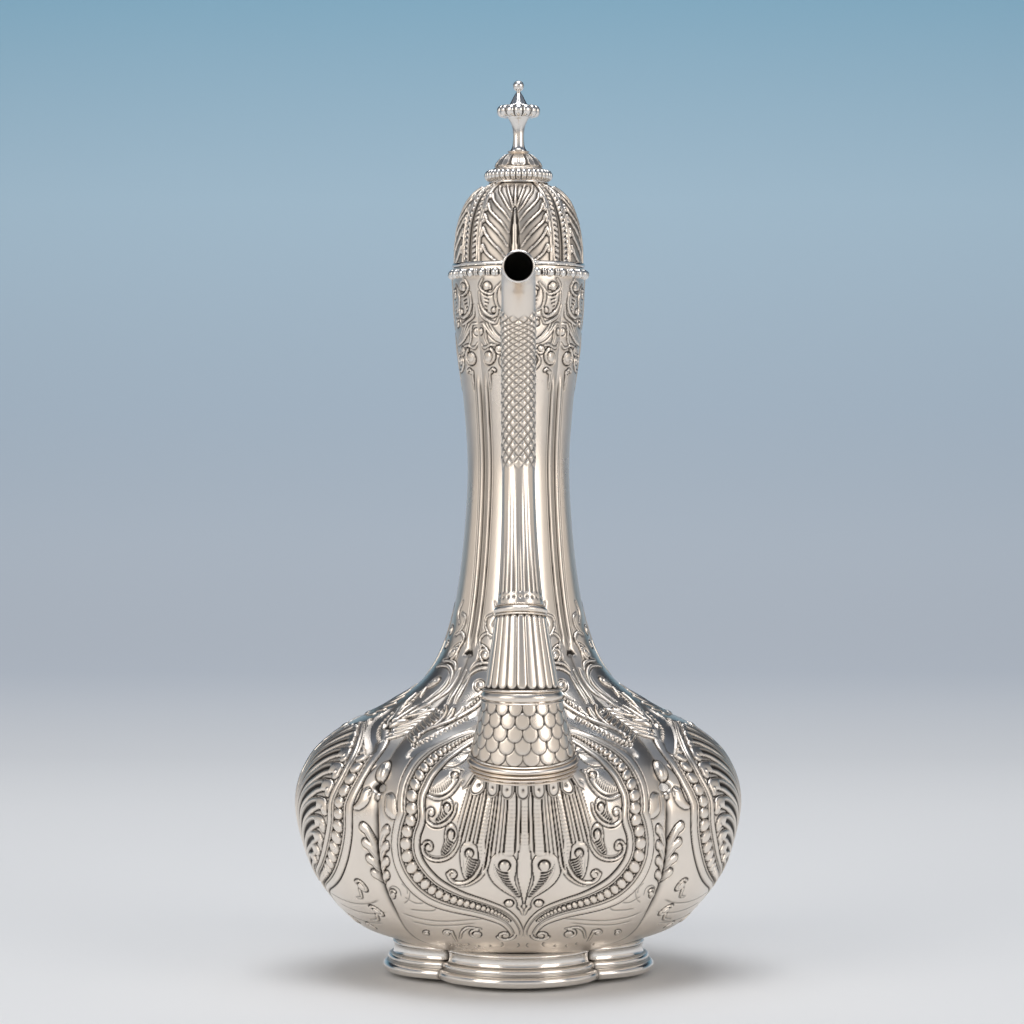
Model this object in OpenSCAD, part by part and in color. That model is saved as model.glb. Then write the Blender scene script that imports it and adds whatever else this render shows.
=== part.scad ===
// Lobed silver coffee pot with a tall slender neck, a swan-neck spout and a hinged domed lid.
// Millimetres. +Z is up, the spout points to -Y and the handle to +Y.
// The origin is the middle of the foot's resting face.

/* [Body] */
// Scale of the whole width of the bulb and neck
body_spread = 1; // [0.95:0.01:1.05]
// Thickness of the raised silver sheet
wall = 1.2; // [1:0.1:1.5]
// Number of flats around the body, a multiple of eight
body_sides = 48; // [48:8:64]

/* [Foot] */
// Height of the foot moulding
foot_h = 9.6; // [9:0.1:10]
// Distance of each foot lobe's centre from the axis
foot_lobe_offset = 17.2; // [16:0.1:18]
// Radius of each foot lobe at the lowest roll
foot_lobe_r = 27; // [26.5:0.1:27.5]

/* [Spout] */
// Thickness of the spout's sheet at its base
spout_wall = 0.9; // [0.7:0.1:1]
// Thickness of the spout's sheet at its mouth
mouth_wall = 0.5; // [0.4:0.1:0.6]
// Number of flats around the spout
spout_sides = 20; // [16:4:24]
// Radius of the holes of the strainer in the body wall
strainer_r = 1.5; // [1:0.1:1.7]

/* [Lid] */
// Thickness of the dome's sheet
lid_wall = 1.1; // [0.9:0.1:1.3]
// Radius of the vent hole in the back of the dome
vent_r = 0.9; // [0.6:0.1:1.2]

/* [Hinge] */
// Radius of the hinge knuckles
knuckle_r = 2; // [1.8:0.1:2.2]
// Radius of the hinge pin
pin_r = 0.85; // [0.7:0.05:1]
// Radial clearance of the lid's knuckle on the pin
pin_clearance = 0.05; // [0.03:0.01:0.08]

/* [Handle] */
// Radius of the grip at its ends
grip_end_r = 4.2; // [4:0.1:4.5]
// Radius of the grip at its middle
grip_mid_r = 5.2; // [4.8:0.1:5.6]
// Radius of the heat insulators' collars
insulator_r = 4.9; // [4.6:0.1:5.2]

/* [Hidden] */

silver = [0.78, 0.76, 0.74];
bright = [0.86, 0.85, 0.84];
ivory = [0.93, 0.89, 0.78];
round_fn = 96;
bore_fn = 32;
eps = 0.01;

// ---- Outlines -------------------------------------------------------------------

// Outer outline of the bulb and neck on a lobe's centre line: [height, radius]
body_outline = [
    [foot_h, 36.5], [11.5, 42], [15.5, 52], [23, 60], [36, 67.8], [55, 72], [69.5, 67.5],
    [79.5, 56.7], [86.5, 43], [95, 31], [108, 23.6], [130, 19], [160, 16.6], [183, 17.7],
    [206, 20.3], [224, 21.4], [228.2, 21.4]
];
// Depth of the lobes, as the offset of a lobe's centre over the outer radius: [height, depth]
lobe_depths = [[foot_h, 0.2], [32, 0.21], [52, 0.27], [72, 0.28], [90, 0.24], [212, 0.24], [224, 0]];
neck_top = 228.2;

// Centre line of the spout: [y, z, outer radius]
spout_line = [
    [-50, 50, 17.2], [-55, 62, 17.7], [-58, 73.5, 16.3], [-61, 94, 11.6], [-58.5, 120, 7.3],
    [-52.5, 145, 5.5], [-48, 170, 5.05], [-46.5, 193, 5.1], [-49, 209.5, 5.25],
    [-57, 221, 5.3], [-66.5, 224.8, 5.15], [-74, 224.8, 4.95]
];
// Places of the three collars along the spout, counted in points of the centre line
base_collar_at = 2;
middle_collar_at = 3;
top_collar_at = 4;
spout_rows = 30;

// Outer outline of the lid's dome: [radius, height]
dome_outline = [[20.8, 229.9], [20.6, 236], [19.5, 243], [17, 249.3], [13.6, 253.3], [9.6, 255.6]];

// Centre line of the handle's grip, between its two heat insulators: [y, z]
socket_length = 9;
collar_length = 4;
tenon_length = 5;
tenon_r = 2.3;
pin_hole_r = 0.7;
upper_seat = [20.4, 206];
upper_lean = 15;
lower_seat = [45.2, 85.4];
lower_lean = 66.8;
grip_line = [
    along(upper_seat, upper_lean, socket_length + collar_length),
    [46, 212.5], [59, 209], [69.5, 197.5], [75, 180], [75, 161], [70.5, 141], [63, 123], [56, 109.5],
    along(lower_seat, lower_lean, socket_length + collar_length)
];

hinge_y = 25.4;
hinge_z = 228.4;
knuckle_half = 2.9;
bracket_in = 3.05;
bracket_half = 8;
rim_z = 226.2;
rim_r = 22.9;
ledge_z = 228.35;
ledge_r = 21.7;
bezel_r = 19.3;
stud_r = 1.2;
stud_bore_r = 1.25;

// ---- Functions ------------------------------------------------------------------

function along(start, lean, distance) =
    [start[0] + distance * cos(lean), start[1] + distance * sin(lean)];

// One point of a smooth curve through a list, t counted in points of the list
function smooth(list, t) =
    let (last = len(list) - 1, i = min(floor(t), last - 1), u = t - i,
         b = list[i], c = list[i + 1],
         a = i > 0 ? list[i - 1] : 2 * b - c,
         d = i + 2 <= last ? list[i + 2] : 2 * c - b)
    0.5 * (2 * b + (c - a) * u + (2 * a - 5 * b + 4 * c - d) * u * u
           + (3 * b - 3 * c + d - a) * u * u * u);

function smooth_list(list, per_span) =
    [for (k = [0 : (len(list) - 1) * per_span]) smooth(list, k / per_span)];

// Unit normal of a curve of pairs, to the right of its direction
function normal_at(list, i) =
    let (a = list[max(i - 1, 0)], b = list[min(i + 1, len(list) - 1)], d = (b - a) / norm(b - a))
    [d[1], -d[0]];

// Radius of a section of four overlapping circles, for a unit outer radius
function lobed(angle, depth) =
    let (turn = angle - 90 * round(angle / 90))
    depth * cos(turn) + sqrt(pow(1 - depth, 2) - pow(depth * sin(turn), 2));

outer_line = smooth_list(body_outline, 2);
inner_line = [
    for (i = [0 : len(outer_line) - 1])
        let (n = normal_at(outer_line, i)) outer_line[i] + wall * [n[0], n[1]]
];

function lobed_ring(z, r) =
    [for (k = [0 : body_sides - 1])
        let (angle = 360 * k / body_sides,
             out = r * body_spread * lobed(angle, lookup(z, lobe_depths)))
        [out * cos(angle), out * sin(angle), z]];

// How far a point lies outside the body
function outside_body(p) =
    norm([p[0], p[1]])
    - body_spread * lookup(p[2], outer_line) * lobed(atan2(p[1], p[0]), lookup(p[2], lobe_depths));

// Point on the spout's surface, s along the centre line, around it by an angle
function spout_point(s, angle, inset) =
    let (c = smooth(spout_line, s),
         d = smooth(spout_line, min(s + eps, len(spout_line) - 1)) - smooth(spout_line, max(s - eps, 0)),
         t = [d[0], d[1]] / norm([d[0], d[1]]),
         r = c[2] - inset)
    [r * cos(angle), c[0] + r * sin(angle) * t[1], c[1] - r * sin(angle) * t[0]];

// Where the spout comes out of the body at one angle, found by halving the span
function spout_start(angle, inset, low = 0, high = 3.4, steps = 16) =
    steps == 0 ? low :
    let (mid = (low + high) / 2)
    outside_body(spout_point(mid, angle, inset)) < 0
        ? spout_start(angle, inset, mid, high, steps - 1)
        : spout_start(angle, inset, low, mid, steps - 1);

// One ring of the outer skin, or of the inner skin, a part of the way along the spout
function spout_ring(part, inside) =
    let (inset = inside ? spout_wall + (mouth_wall - spout_wall) * part : 0,
         last = len(spout_line) - 1)
    [for (k = [0 : spout_sides - 1])
        let (angle = 360 * k / spout_sides,
             start = spout_start(angle, inside ? spout_wall : 0))
        spout_point(start + (last - start) * part, angle, inset)];

function grip_ring(t) =
    let (last = len(grip_line) - 1, c = smooth(grip_line, t),
         d = t < eps ? smooth(grip_line, eps) - c
           : t > last - eps ? c - smooth(grip_line, last - eps)
           : smooth(grip_line, t + eps) - smooth(grip_line, t - eps),
         dir = t < eps ? [cos(upper_lean), sin(upper_lean)]
             : t > last - eps ? -[cos(lower_lean), sin(lower_lean)]
             : d / norm(d),
         r = grip_end_r + (grip_mid_r - grip_end_r) * sin(180 * t / last))
    [for (k = [0 : 15])
        let (angle = 22.5 * k)
        [r * cos(angle), c[0] + r * sin(angle) * dir[1], c[1] - r * sin(angle) * dir[0]]];

// ---- Building blocks ------------------------------------------------------------

// Triangles between ring i and the next ring of a skin
function band(i, j, n) =
    [for (k = [0 : n - 1])
        let (m = (k + 1) % n)
        each [[i * n + k, j * n + k, j * n + m], [i * n + k, j * n + m, i * n + m]]];

module capped_skin(rings) {
    n = len(rings[0]);
    last = len(rings) - 1;
    sides = [for (i = [0 : last - 1]) each band(i, i + 1, n)];
    caps = [[for (k = [0 : n - 1]) k], [for (k = [n - 1 : -1 : 0]) last * n + k]];
    polyhedron(points = [for (ring = rings) each ring], faces = concat(sides, caps));
}

module looped_skin(rings) {
    n = len(rings[0]);
    count = len(rings);
    sides = [for (i = [0 : count - 1]) each band(i, (i + 1) % count, n)];
    polyhedron(points = [for (ring = rings) each ring], faces = sides);
}

module turned(profile) {
    rotate_extrude($fn = round_fn) polygon(profile);
}

// Stands what it holds on the spout's centre line, with its Z along the line
module on_spout(s) {
    c = smooth(spout_line, s);
    d = smooth(spout_line, s + eps) - smooth(spout_line, s - eps);
    translate([0, c[0], c[1]]) rotate([-atan2(d[0], d[1]), 0, 0]) children();
}

// Stands what it holds on the handle's line, with its Z along a lean in the YZ plane
module leaning(place, lean) {
    translate([0, place[0], place[1]]) rotate([lean - 90, 0, 0]) mirror([0, 1, 0]) children();
}

// The solid of one body lobe between two heights, to trim what is soldered on it
module lobe_trim(side, low, high) {
    offset_y = lookup((low + high) / 2, outer_line) * lookup((low + high) / 2, lobe_depths);
    steps = 6;
    heights = [for (k = [0 : steps]) low + (high - low) * k / steps];
    edge = [for (z = heights) [lookup(z, outer_line) * body_spread - offset_y, z]];
    translate([0, side * offset_y, 0]) turned(concat([[0, low]], edge, [[0, high]]));
}

// A moulded ring: rounded rolls between two heights on a bore
module moulding(bore, low, high, rolls) {
    step = (high - low) / len(rolls);
    difference() {
        union() {
            for (k = [0 : len(rolls) - 1]) {
                roll = rolls[k];
                translate([0, 0, low + k * step]) turned(concat(
                    [[0, 0]],
                    [for (a = [0 : 22.5 : 180]) [roll - step * (1 - sin(a)) / 2, step * (1 - cos(a)) / 2]],
                    [[0, step]]
                ));
            }
        }
        translate([0, 0, low - 1]) cylinder(h = high - low + 2, r = bore, $fn = round_fn);
    }
}

// ---- Pot ------------------------------------------------------------------------

module foot_ring() {
    thick_roll = 3.4;
    thin_roll = 5.8;
    band_top = 8.8;
    profile = concat(
        [[0, 0], [foot_lobe_r - 1.4, 0]],
        [for (a = [-50 : 20 : 70])
            [foot_lobe_r - 1.8 + 1.8 * cos(a), thick_roll / 2 + 1.7 * sin(a)]],
        [for (a = [-70 : 20 : 70])
            [foot_lobe_r - 2.8 + 1.2 * cos(a), (thick_roll + thin_roll) / 2 + 1.2 * sin(a)]],
        [[foot_lobe_r - 4.2, thin_roll], [foot_lobe_r - 5.1, 7.2], [foot_lobe_r - 5.2, band_top],
         [foot_lobe_r - 4.6, band_top], [foot_lobe_r - 4.6, foot_h], [0, foot_h]]
    );
    color(silver) difference() {
        for (turn = [0 : 90 : 270]) rotate(turn) translate([foot_lobe_offset, 0, 0]) turned(profile);
        for (turn = [0 : 90 : 270]) rotate(turn) translate([foot_lobe_offset, 0, 0]) {
            translate([0, 0, -1]) cylinder(h = foot_h - 0.2, r = foot_lobe_r - 6.6, $fn = round_fn);
            translate([0, 0, -1]) cylinder(h = foot_h + 2, r = foot_lobe_r - 12, $fn = round_fn);
        }
    }
}

module body_shell() {
    inner_floor = foot_h + wall;
    inside = [for (p = inner_line) if (p[0] > inner_floor + 0.5 && p[0] < neck_top - 0.5) p];
    rings = concat(
        [for (p = outer_line) lobed_ring(p[0], p[1])],
        [lobed_ring(neck_top, inside[len(inside) - 1][1])],
        [for (k = [len(inside) - 1 : -1 : 0]) lobed_ring(inside[k][0], inside[k][1])],
        [lobed_ring(inner_floor, inside[0][1] - 3.5)]
    );
    color(silver) difference() {
        capped_skin(rings);
        translate([0, -60.5, 70.5]) rotate([47, 0, 0]) {
            for (k = [0 : 5]) rotate(60 * k) translate([5.4, 0, -1]) cylinder(h = 12, r = strainer_r, $fn = bore_fn);
            translate([0, 0, -1]) cylinder(h = 12, r = strainer_r, $fn = bore_fn);
        }
    }
}

module rim_beading() {
    color(bright) difference() {
        moulding(21.4, rim_z - 1.7, rim_z + 1.7, [22.1, rim_r, 22.1]);
        translate([-bracket_half, 10, rim_z - 5]) cube([2 * bracket_half, 20, 10]);
    }
}

// ---- Spout ----------------------------------------------------------------------

module spout_tube() {
    color(silver) looped_skin(concat(
        [for (k = [0 : spout_rows]) spout_ring(k / spout_rows, false)],
        [for (k = [spout_rows : -1 : 0]) spout_ring(k / spout_rows, true)]
    ));
}

module spout_lip() {
    tip = spout_line[len(spout_line) - 1];
    color(bright) translate([0, tip[0], tip[1]]) rotate([90, 0, 0])
        moulding(tip[2] - mouth_wall, 0, 1.2, [tip[2] + 0.15]);
}

module spout_base_collar() {
    r = spout_line[base_collar_at][2];
    color(bright) difference() {
        on_spout(base_collar_at) moulding(r - 0.3, -2.4, 2.6, [r + 0.9, r + 1.2, r + 0.7]);
        lobe_trim(-1, 56, 84);
    }
}

module spout_middle_collar() {
    r = spout_line[middle_collar_at][2];
    color(bright) on_spout(middle_collar_at) moulding(r - 0.4, -1.6, 1.8, [r + 0.9, r + 0.6]);
}

module spout_top_collar() {
    r = spout_line[top_collar_at][2];
    color(bright) on_spout(top_collar_at) moulding(r - 0.4, -1.4, 1.6, [r + 0.8, r + 0.5]);
}

// ---- Hinge ----------------------------------------------------------------------

module hinge_pin() {
    color(bright) translate([0, hinge_y, hinge_z]) rotate([0, 90, 0]) {
        cylinder(h = 2 * bracket_half, r = pin_r, center = true, $fn = bore_fn);
        for (side = [-1, 1]) translate([0, 0, side * (bracket_half + 0.25)])
            cylinder(h = 0.5, r = pin_r + 0.5, center = true, $fn = bore_fn);
    }
}

module hinge_bracket() {
    plate_low = 217;
    color(silver) difference() {
        union() {
            for (side = [-1, 1]) {
                middle = side * (bracket_in + bracket_half) / 2;
                width = bracket_half - bracket_in;
                translate([middle, hinge_y, hinge_z]) rotate([0, 90, 0])
                    cylinder(h = width, r = knuckle_r, center = true, $fn = round_fn);
                translate([middle - width / 2, hinge_y - 2.2, plate_low + 6])
                    cube([width, 2.2 + knuckle_r, hinge_z - plate_low - 6]);
            }
            translate([-bracket_half, 14, plate_low]) cube([2 * bracket_half, hinge_y - 14 + knuckle_r, 7.5]);
        }
        lobe_trim(1, plate_low - 2, neck_top + 6);
        translate([0, hinge_y, hinge_z]) rotate([0, 90, 0])
            cylinder(h = 3 * bracket_half, r = pin_r, center = true, $fn = bore_fn);
        translate([-20, hinge_y + knuckle_r, plate_low]) rotate([-33, 0, 0])
            translate([0, 0, -20]) cube([40, 20, 20]);
    }
}

// ---- Handle ---------------------------------------------------------------------

// Cross pins through the tenons of one insulator, in the insulator's own frame
module joint_pins(length) {
    for (z = [-tenon_length / 2, collar_length + tenon_length / 2])
        translate([0, 0, z]) rotate([0, 90, 0])
            cylinder(h = length, r = pin_hole_r, center = true, $fn = bore_fn);
}

module insulator() {
    color(ivory) difference() {
        union() {
            moulding(tenon_r, 0, collar_length, [insulator_r]);
            translate([0, 0, -tenon_length])
                cylinder(h = collar_length + 2 * tenon_length, r = tenon_r, $fn = bore_fn);
        }
        joint_pins(20);
    }
}

// A tapering silver socket with a bore for the insulator's tenon, 0 at the body's face
module socket(root) {
    difference() {
        turned([[0, -root], [7, -root], [6.6, 0], [5.2, 2.5], [4.5, 5.5], [4.4, 7.2],
                [4.9, 7.8], [4.9, socket_length], [0, socket_length]]);
        translate([0, 0, socket_length - tenon_length])
            cylinder(h = tenon_length + 1, r = tenon_r, $fn = bore_fn);
        translate([0, 0, socket_length]) joint_pins(20);
    }
}

module handle_upper_socket() {
    color(silver) difference() {
        leaning(upper_seat, upper_lean) socket(2.5);
        lobe_trim(1, 192, 220);
    }
}

module handle_lower_socket() {
    color(silver) difference() {
        leaning(lower_seat, lower_lean) socket(5);
        lobe_trim(1, 74, 96);
    }
}

module handle_upper_insulator() {
    leaning(along(upper_seat, upper_lean, socket_length), upper_lean) insulator();
}

module handle_lower_insulator() {
    leaning(along(lower_seat, lower_lean, socket_length), lower_lean) insulator();
}

module grip_bore(seat, lean) {
    leaning(along(seat, lean, socket_length), lean) {
        translate([0, 0, collar_length - 1]) cylinder(h = tenon_length + 1, r = tenon_r, $fn = bore_fn);
        joint_pins(20);
    }
}

module handle_grip() {
    last = len(grip_line) - 1;
    color(silver) difference() {
        capped_skin([for (k = [0 : 3 * last]) grip_ring(k / 3)]);
        grip_bore(upper_seat, upper_lean);
        grip_bore(lower_seat, lower_lean);
    }
}

module handle_pins() {
    color(bright) {
        leaning(along(upper_seat, upper_lean, socket_length), upper_lean) joint_pins(8.2);
        leaning(along(lower_seat, lower_lean, socket_length), lower_lean) joint_pins(8.2);
    }
}

// ---- Lid ------------------------------------------------------------------------

dome_curve = smooth_list(dome_outline, 3);
dome_top = dome_outline[len(dome_outline) - 1];

module lid_dome() {
    inner = [for (i = [0 : len(dome_curve) - 1]) dome_curve[i] - lid_wall * normal_at(dome_curve, i)];
    color(silver) difference() {
        turned(concat(
            dome_curve, [[0, dome_top[1] + 0.2], [0, dome_top[1] - lid_wall]],
            [for (k = [len(inner) - 1 : -1 : 1]) inner[k]], [[dome_outline[0][0] - lid_wall, dome_outline[0][1]]]
        ));
        translate([0, 0, dome_top[1] - 5]) cylinder(h = 10, r = stud_bore_r, $fn = bore_fn);
        translate([0, 0, 249]) rotate([-55, 0, 0]) cylinder(h = 30, r = vent_r, $fn = bore_fn);
    }
}

module lid_ledge() {
    color(bright) moulding(dome_outline[0][0] - lid_wall, ledge_z, dome_outline[0][1], [ledge_r]);
}

module lid_bezel() {
    color(silver) difference() {
        translate([0, 0, ledge_z - 4.2]) cylinder(h = 4.2 + 1.55, r = bezel_r, $fn = round_fn);
        translate([0, 0, ledge_z - 5]) cylinder(h = 8, r = bezel_r - 1, $fn = round_fn);
    }
}

module lid_knuckle() {
    color(silver) difference() {
        union() {
            translate([0, hinge_y, hinge_z]) rotate([0, 90, 0])
                cylinder(h = 2 * knuckle_half, r = knuckle_r, center = true, $fn = round_fn);
            translate([-knuckle_half, 18, ledge_z + 0.15]) cube([2 * knuckle_half, hinge_y - 18, 1.4]);
        }
        translate([0, 0, ledge_z - 2]) cylinder(h = 8, r = ledge_r, $fn = round_fn);
        translate([0, hinge_y, hinge_z]) rotate([0, 90, 0])
            cylinder(h = 3 * knuckle_half, r = pin_r + pin_clearance, center = true, $fn = bore_fn);
    }
}

// ---- Finial ---------------------------------------------------------------------

ring_low = dome_top[1] + 0.2;
ring_high = 260.3;
bell_high = 266.5;
stem_high = 277.6;
button_high = 281.4;
tip_high = 289.4;

module bored(profile, low, depth) {
    difference() {
        turned(profile);
        translate([0, 0, low - 1]) cylinder(h = depth + 1, r = stud_bore_r, $fn = bore_fn);
    }
}

module finial_ring() {
    color(bright) bored(concat(
        [[0, ring_low], [9.7, ring_low], [9.7, 256.6]],
        [for (a = [-70 : 20 : 70]) [9.3 + 1.8 * cos(a), 258.4 + 1.8 * sin(a)]],
        [[8.2, ring_high], [0, ring_high]]
    ), ring_low, 6);
}

module finial_bell() {
    color(silver) bored([
        [0, ring_high], [8, ring_high], [8, 260.9], [7.6, 261.2], [6.9, 262.3], [5.6, 263.5],
        [4.3, 264.6], [3.6, 265.7], [3.75, 266.1], [3.3, bell_high], [0, bell_high]
    ], ring_high, 8);
}

module finial_stem() {
    color(bright) bored([
        [0, bell_high], [2.6, bell_high], [2.1, 268], [1.8, 269.6], [1.8, 272.9], [2.2, 275],
        [2.9, 276.6], [3.6, stem_high], [0, stem_high]
    ], bell_high, 5);
}

module finial_button() {
    color(bright) turned(concat(
        [[0, stem_high], [3.6, stem_high]],
        [for (a = [-60 : 20 : 60]) [5.2 + 1.85 * cos(a), 279.5 + 2.05 * sin(a)]],
        [[3.2, button_high], [0, button_high]]
    ));
}

module finial_tip() {
    ball_r = 1.75;
    color(bright) {
        turned([[0, button_high], [3.1, button_high], [2.2, 282.4], [1.4, 283.6], [1, 285],
                [1, 286.4], [0, 286.4]]);
        translate([0, 0, tip_high - ball_r]) sphere(r = ball_r, $fn = bore_fn);
    }
}

module finial_stud() {
    color(silver) translate([0, 0, 250.8]) cylinder(h = 19.5, r = stud_r, $fn = bore_fn);
}

module finial_nut() {
    color(silver) translate([0, 0, 251.6]) difference() {
        cylinder(h = dome_top[1] - lid_wall - 251.6, r = 3.2, $fn = 6);
        translate([0, 0, -1]) cylinder(h = 8, r = stud_r, $fn = bore_fn);
    }
}

foot_ring();
body_shell();
rim_beading();
spout_tube();
spout_lip();
spout_base_collar();
spout_middle_collar();
spout_top_collar();
hinge_bracket();
hinge_pin();
handle_upper_socket();
handle_lower_socket();
handle_upper_insulator();
handle_lower_insulator();
handle_grip();
handle_pins();
lid_dome();
lid_ledge();
lid_bezel();
lid_knuckle();
finial_ring();
finial_bell();
finial_stem();
finial_button();
finial_tip();
finial_stud();
finial_nut();
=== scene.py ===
"""Looks of the silver coffee pot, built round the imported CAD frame.

Shapes are worked out in millimetres, in the frame's axes: the spout points to -Y, the handle to +Y.
The chased relief is a height over a grid laid on the real surface: w is the distance across from a
lobe's middle and s is the distance up along the surface, both in millimetres.
"""
import math

import bpy
import numpy as np
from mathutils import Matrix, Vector

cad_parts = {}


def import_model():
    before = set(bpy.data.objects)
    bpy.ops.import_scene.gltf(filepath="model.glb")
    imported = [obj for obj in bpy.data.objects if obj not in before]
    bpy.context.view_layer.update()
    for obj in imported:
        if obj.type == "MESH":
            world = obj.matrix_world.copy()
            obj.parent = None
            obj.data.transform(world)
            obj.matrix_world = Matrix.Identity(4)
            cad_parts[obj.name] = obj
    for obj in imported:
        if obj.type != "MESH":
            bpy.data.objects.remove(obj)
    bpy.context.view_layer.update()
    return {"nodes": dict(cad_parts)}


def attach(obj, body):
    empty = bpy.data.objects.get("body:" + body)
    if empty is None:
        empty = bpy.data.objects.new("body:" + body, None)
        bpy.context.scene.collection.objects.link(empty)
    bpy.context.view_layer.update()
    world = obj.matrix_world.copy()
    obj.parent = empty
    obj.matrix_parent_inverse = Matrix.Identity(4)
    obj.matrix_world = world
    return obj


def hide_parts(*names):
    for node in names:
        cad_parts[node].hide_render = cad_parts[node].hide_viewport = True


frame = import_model()

MM = 0.001
QUARTER = math.pi / 4

# ---- Outlines, the same as in the CAD part ------------------------------------------

# [height, radius] on a lobe's middle line
BODY_OUTLINE = [
    (9.6, 36.5), (11.5, 42), (15.5, 52), (23, 60), (36, 67.8), (55, 72), (69.5, 67.5),
    (79.5, 56.7), (86.5, 43), (95, 31), (108, 23.6), (130, 19), (160, 16.6), (183, 17.7),
    (206, 20.3), (224, 21.4), (228.2, 21.4),
]
# [height, offset of a lobe's centre over the radius]
LOBE_DEPTHS = [(9.6, 0.2), (32, 0.21), (52, 0.27), (72, 0.28), (90, 0.24), (212, 0.24), (224, 0)]
# [y, z, radius] along the spout
SPOUT_LINE = [
    (-50, 50, 17.2), (-55, 62, 17.7), (-58, 73.5, 16.3), (-61, 94, 11.6), (-58.5, 120, 7.3),
    (-52.5, 145, 5.5), (-48, 170, 5.05), (-46.5, 193, 5.1), (-49, 209.5, 5.25),
    (-57, 221, 5.3), (-66.5, 224.8, 5.15), (-74, 224.8, 4.95),
]
# [radius, height] of the lid's dome
DOME_OUTLINE = [(20.8, 229.9), (20.6, 236), (19.5, 243), (17, 249.3), (13.6, 253.3), (9.6, 255.6)]
# [y, z] along the handle's grip
GRIP_LINE = [
    (32.96, 209.36), (46, 212.5), (59, 209), (69.5, 197.5), (75, 180), (75, 161), (70.5, 141),
    (63, 123), (56, 109.5), (50.32, 97.35),
]
WALL = 1.2
# Distance up the surface where the grids of bulb and neck meet
NECK_SPLIT = 137.0
# The raised body is turned a little on its foot, and the spout's root leans with it
BODY_TURN = 1.5
SPOUT_LEAN = 1.4


# ---- Curves and grids ---------------------------------------------------------------

def spline(points, per_span=8):
    """Points of a smooth curve through a list of points."""
    p = np.asarray(points, float)
    ends = np.vstack([2 * p[0] - p[1], p, 2 * p[-1] - p[-2]])
    t = np.arange(per_span)[:, None] / per_span
    parts = []
    for a, b, c, d in zip(ends, ends[1:], ends[2:], ends[3:]):
        parts.append(0.5 * (2 * b + (c - a) * t + (2 * a - 5 * b + 4 * c - d) * t ** 2
                            + (3 * b - 3 * c + d - a) * t ** 3))
    return np.vstack(parts + [p[-1:]])


def lengths(points):
    """Distance along a line of points, from its first."""
    return np.concatenate([[0], np.cumsum(np.linalg.norm(np.diff(points, axis=0), axis=1))])


def smoothstep(low, high, x):
    t = np.clip((x - low) / (high - low), 0, 1)
    return t * t * (3 - 2 * t)


def between(low, rise_end, fall_start, high, x):
    """Rises from 0 to 1 and falls back to 0."""
    return smoothstep(low, rise_end, x) * (1 - smoothstep(fall_start, high, x))


def bump(x, middle, width):
    """A bell curve that is 1 at its middle."""
    return np.exp(-((x - middle) / width) ** 2)


def half_round(x):
    """The height of a round section of radius 1 over its width."""
    return np.sqrt(np.clip(1 - x ** 2, 0, 1))


def round_upright(r, angle, z):
    """Points round the pot's axis."""
    return np.stack(np.broadcast_arrays(r * np.cos(angle), r * np.sin(angle), z), axis=-1)


def round_line(r, angle, y, z, along_y, along_z):
    """Points round a line in the pot's middle plane, by a place on it and its direction there."""
    forward = r * np.sin(angle)
    return np.stack([r * np.cos(angle), y + forward * along_z, z - forward * along_y], axis=-1)


def round_angles(count):
    return np.linspace(0, 2 * math.pi, count, endpoint=False)


BODY_CURVE = spline(BODY_OUTLINE, 24)
BODY_S = lengths(BODY_CURVE)
TOTAL_S = BODY_S[-1]
DEPTH_Z, DEPTH = np.array(LOBE_DEPTHS).T
# The spout's middle line and radius where it leaves the body, for the body's rise towards it
SPOUT_ROOT = spline(SPOUT_LINE[:5], 12)


def from_lobe(angle):
    """An angle round the pot, measured from the middle of the nearest lobe."""
    return angle - (math.pi / 2) * np.round(angle / (math.pi / 2))


def body_radius(s):
    return np.interp(s, BODY_S, BODY_CURVE[:, 1])


def body_height(s):
    return np.interp(s, BODY_S, BODY_CURVE[:, 0])


def lobe_factor(angle, z):
    depth = np.interp(z, DEPTH_Z, DEPTH)
    return depth * np.cos(angle) + np.sqrt((1 - depth) ** 2 - (depth * np.sin(angle)) ** 2)


def lobe_surface(angle, s):
    """Sideways, outward and up, for an angle from the lobe's middle."""
    z = body_height(s)
    r = body_radius(s) * lobe_factor(angle, z)
    return np.stack([r * np.sin(angle), r * np.cos(angle), z], axis=-1)


def unit(v):
    return v / np.maximum(np.linalg.norm(v, axis=-1, keepdims=True), 1e-9)


def grid_normals(p, closed=False, mirrored=False):
    """Normals of a grid: columns run counter-clockwise round the axis, rows run up."""
    if closed:
        across = np.roll(p, -1, axis=1) - np.roll(p, 1, axis=1)
    else:
        across = np.gradient(p, axis=1)
        if mirrored:
            across[:, 0] = 0
            across[:, 0, 0] = 1
    return unit(np.cross(across, np.gradient(p, axis=0)))


def box_blur(a, reach):
    """Mean of a grid over a square of cells on each side."""
    out = a
    for axis in (0, 1):
        pad = [(0, 0), (0, 0)]
        pad[axis] = (reach + 1, reach)
        total = np.cumsum(np.pad(out, pad, mode="edge"), axis=axis)
        size = 2 * reach + 1
        upper = np.take(total, range(size, total.shape[axis]), axis=axis)
        lower = np.take(total, range(0, total.shape[axis] - size), axis=axis)
        out = (upper - lower) / size
    return out


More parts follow.
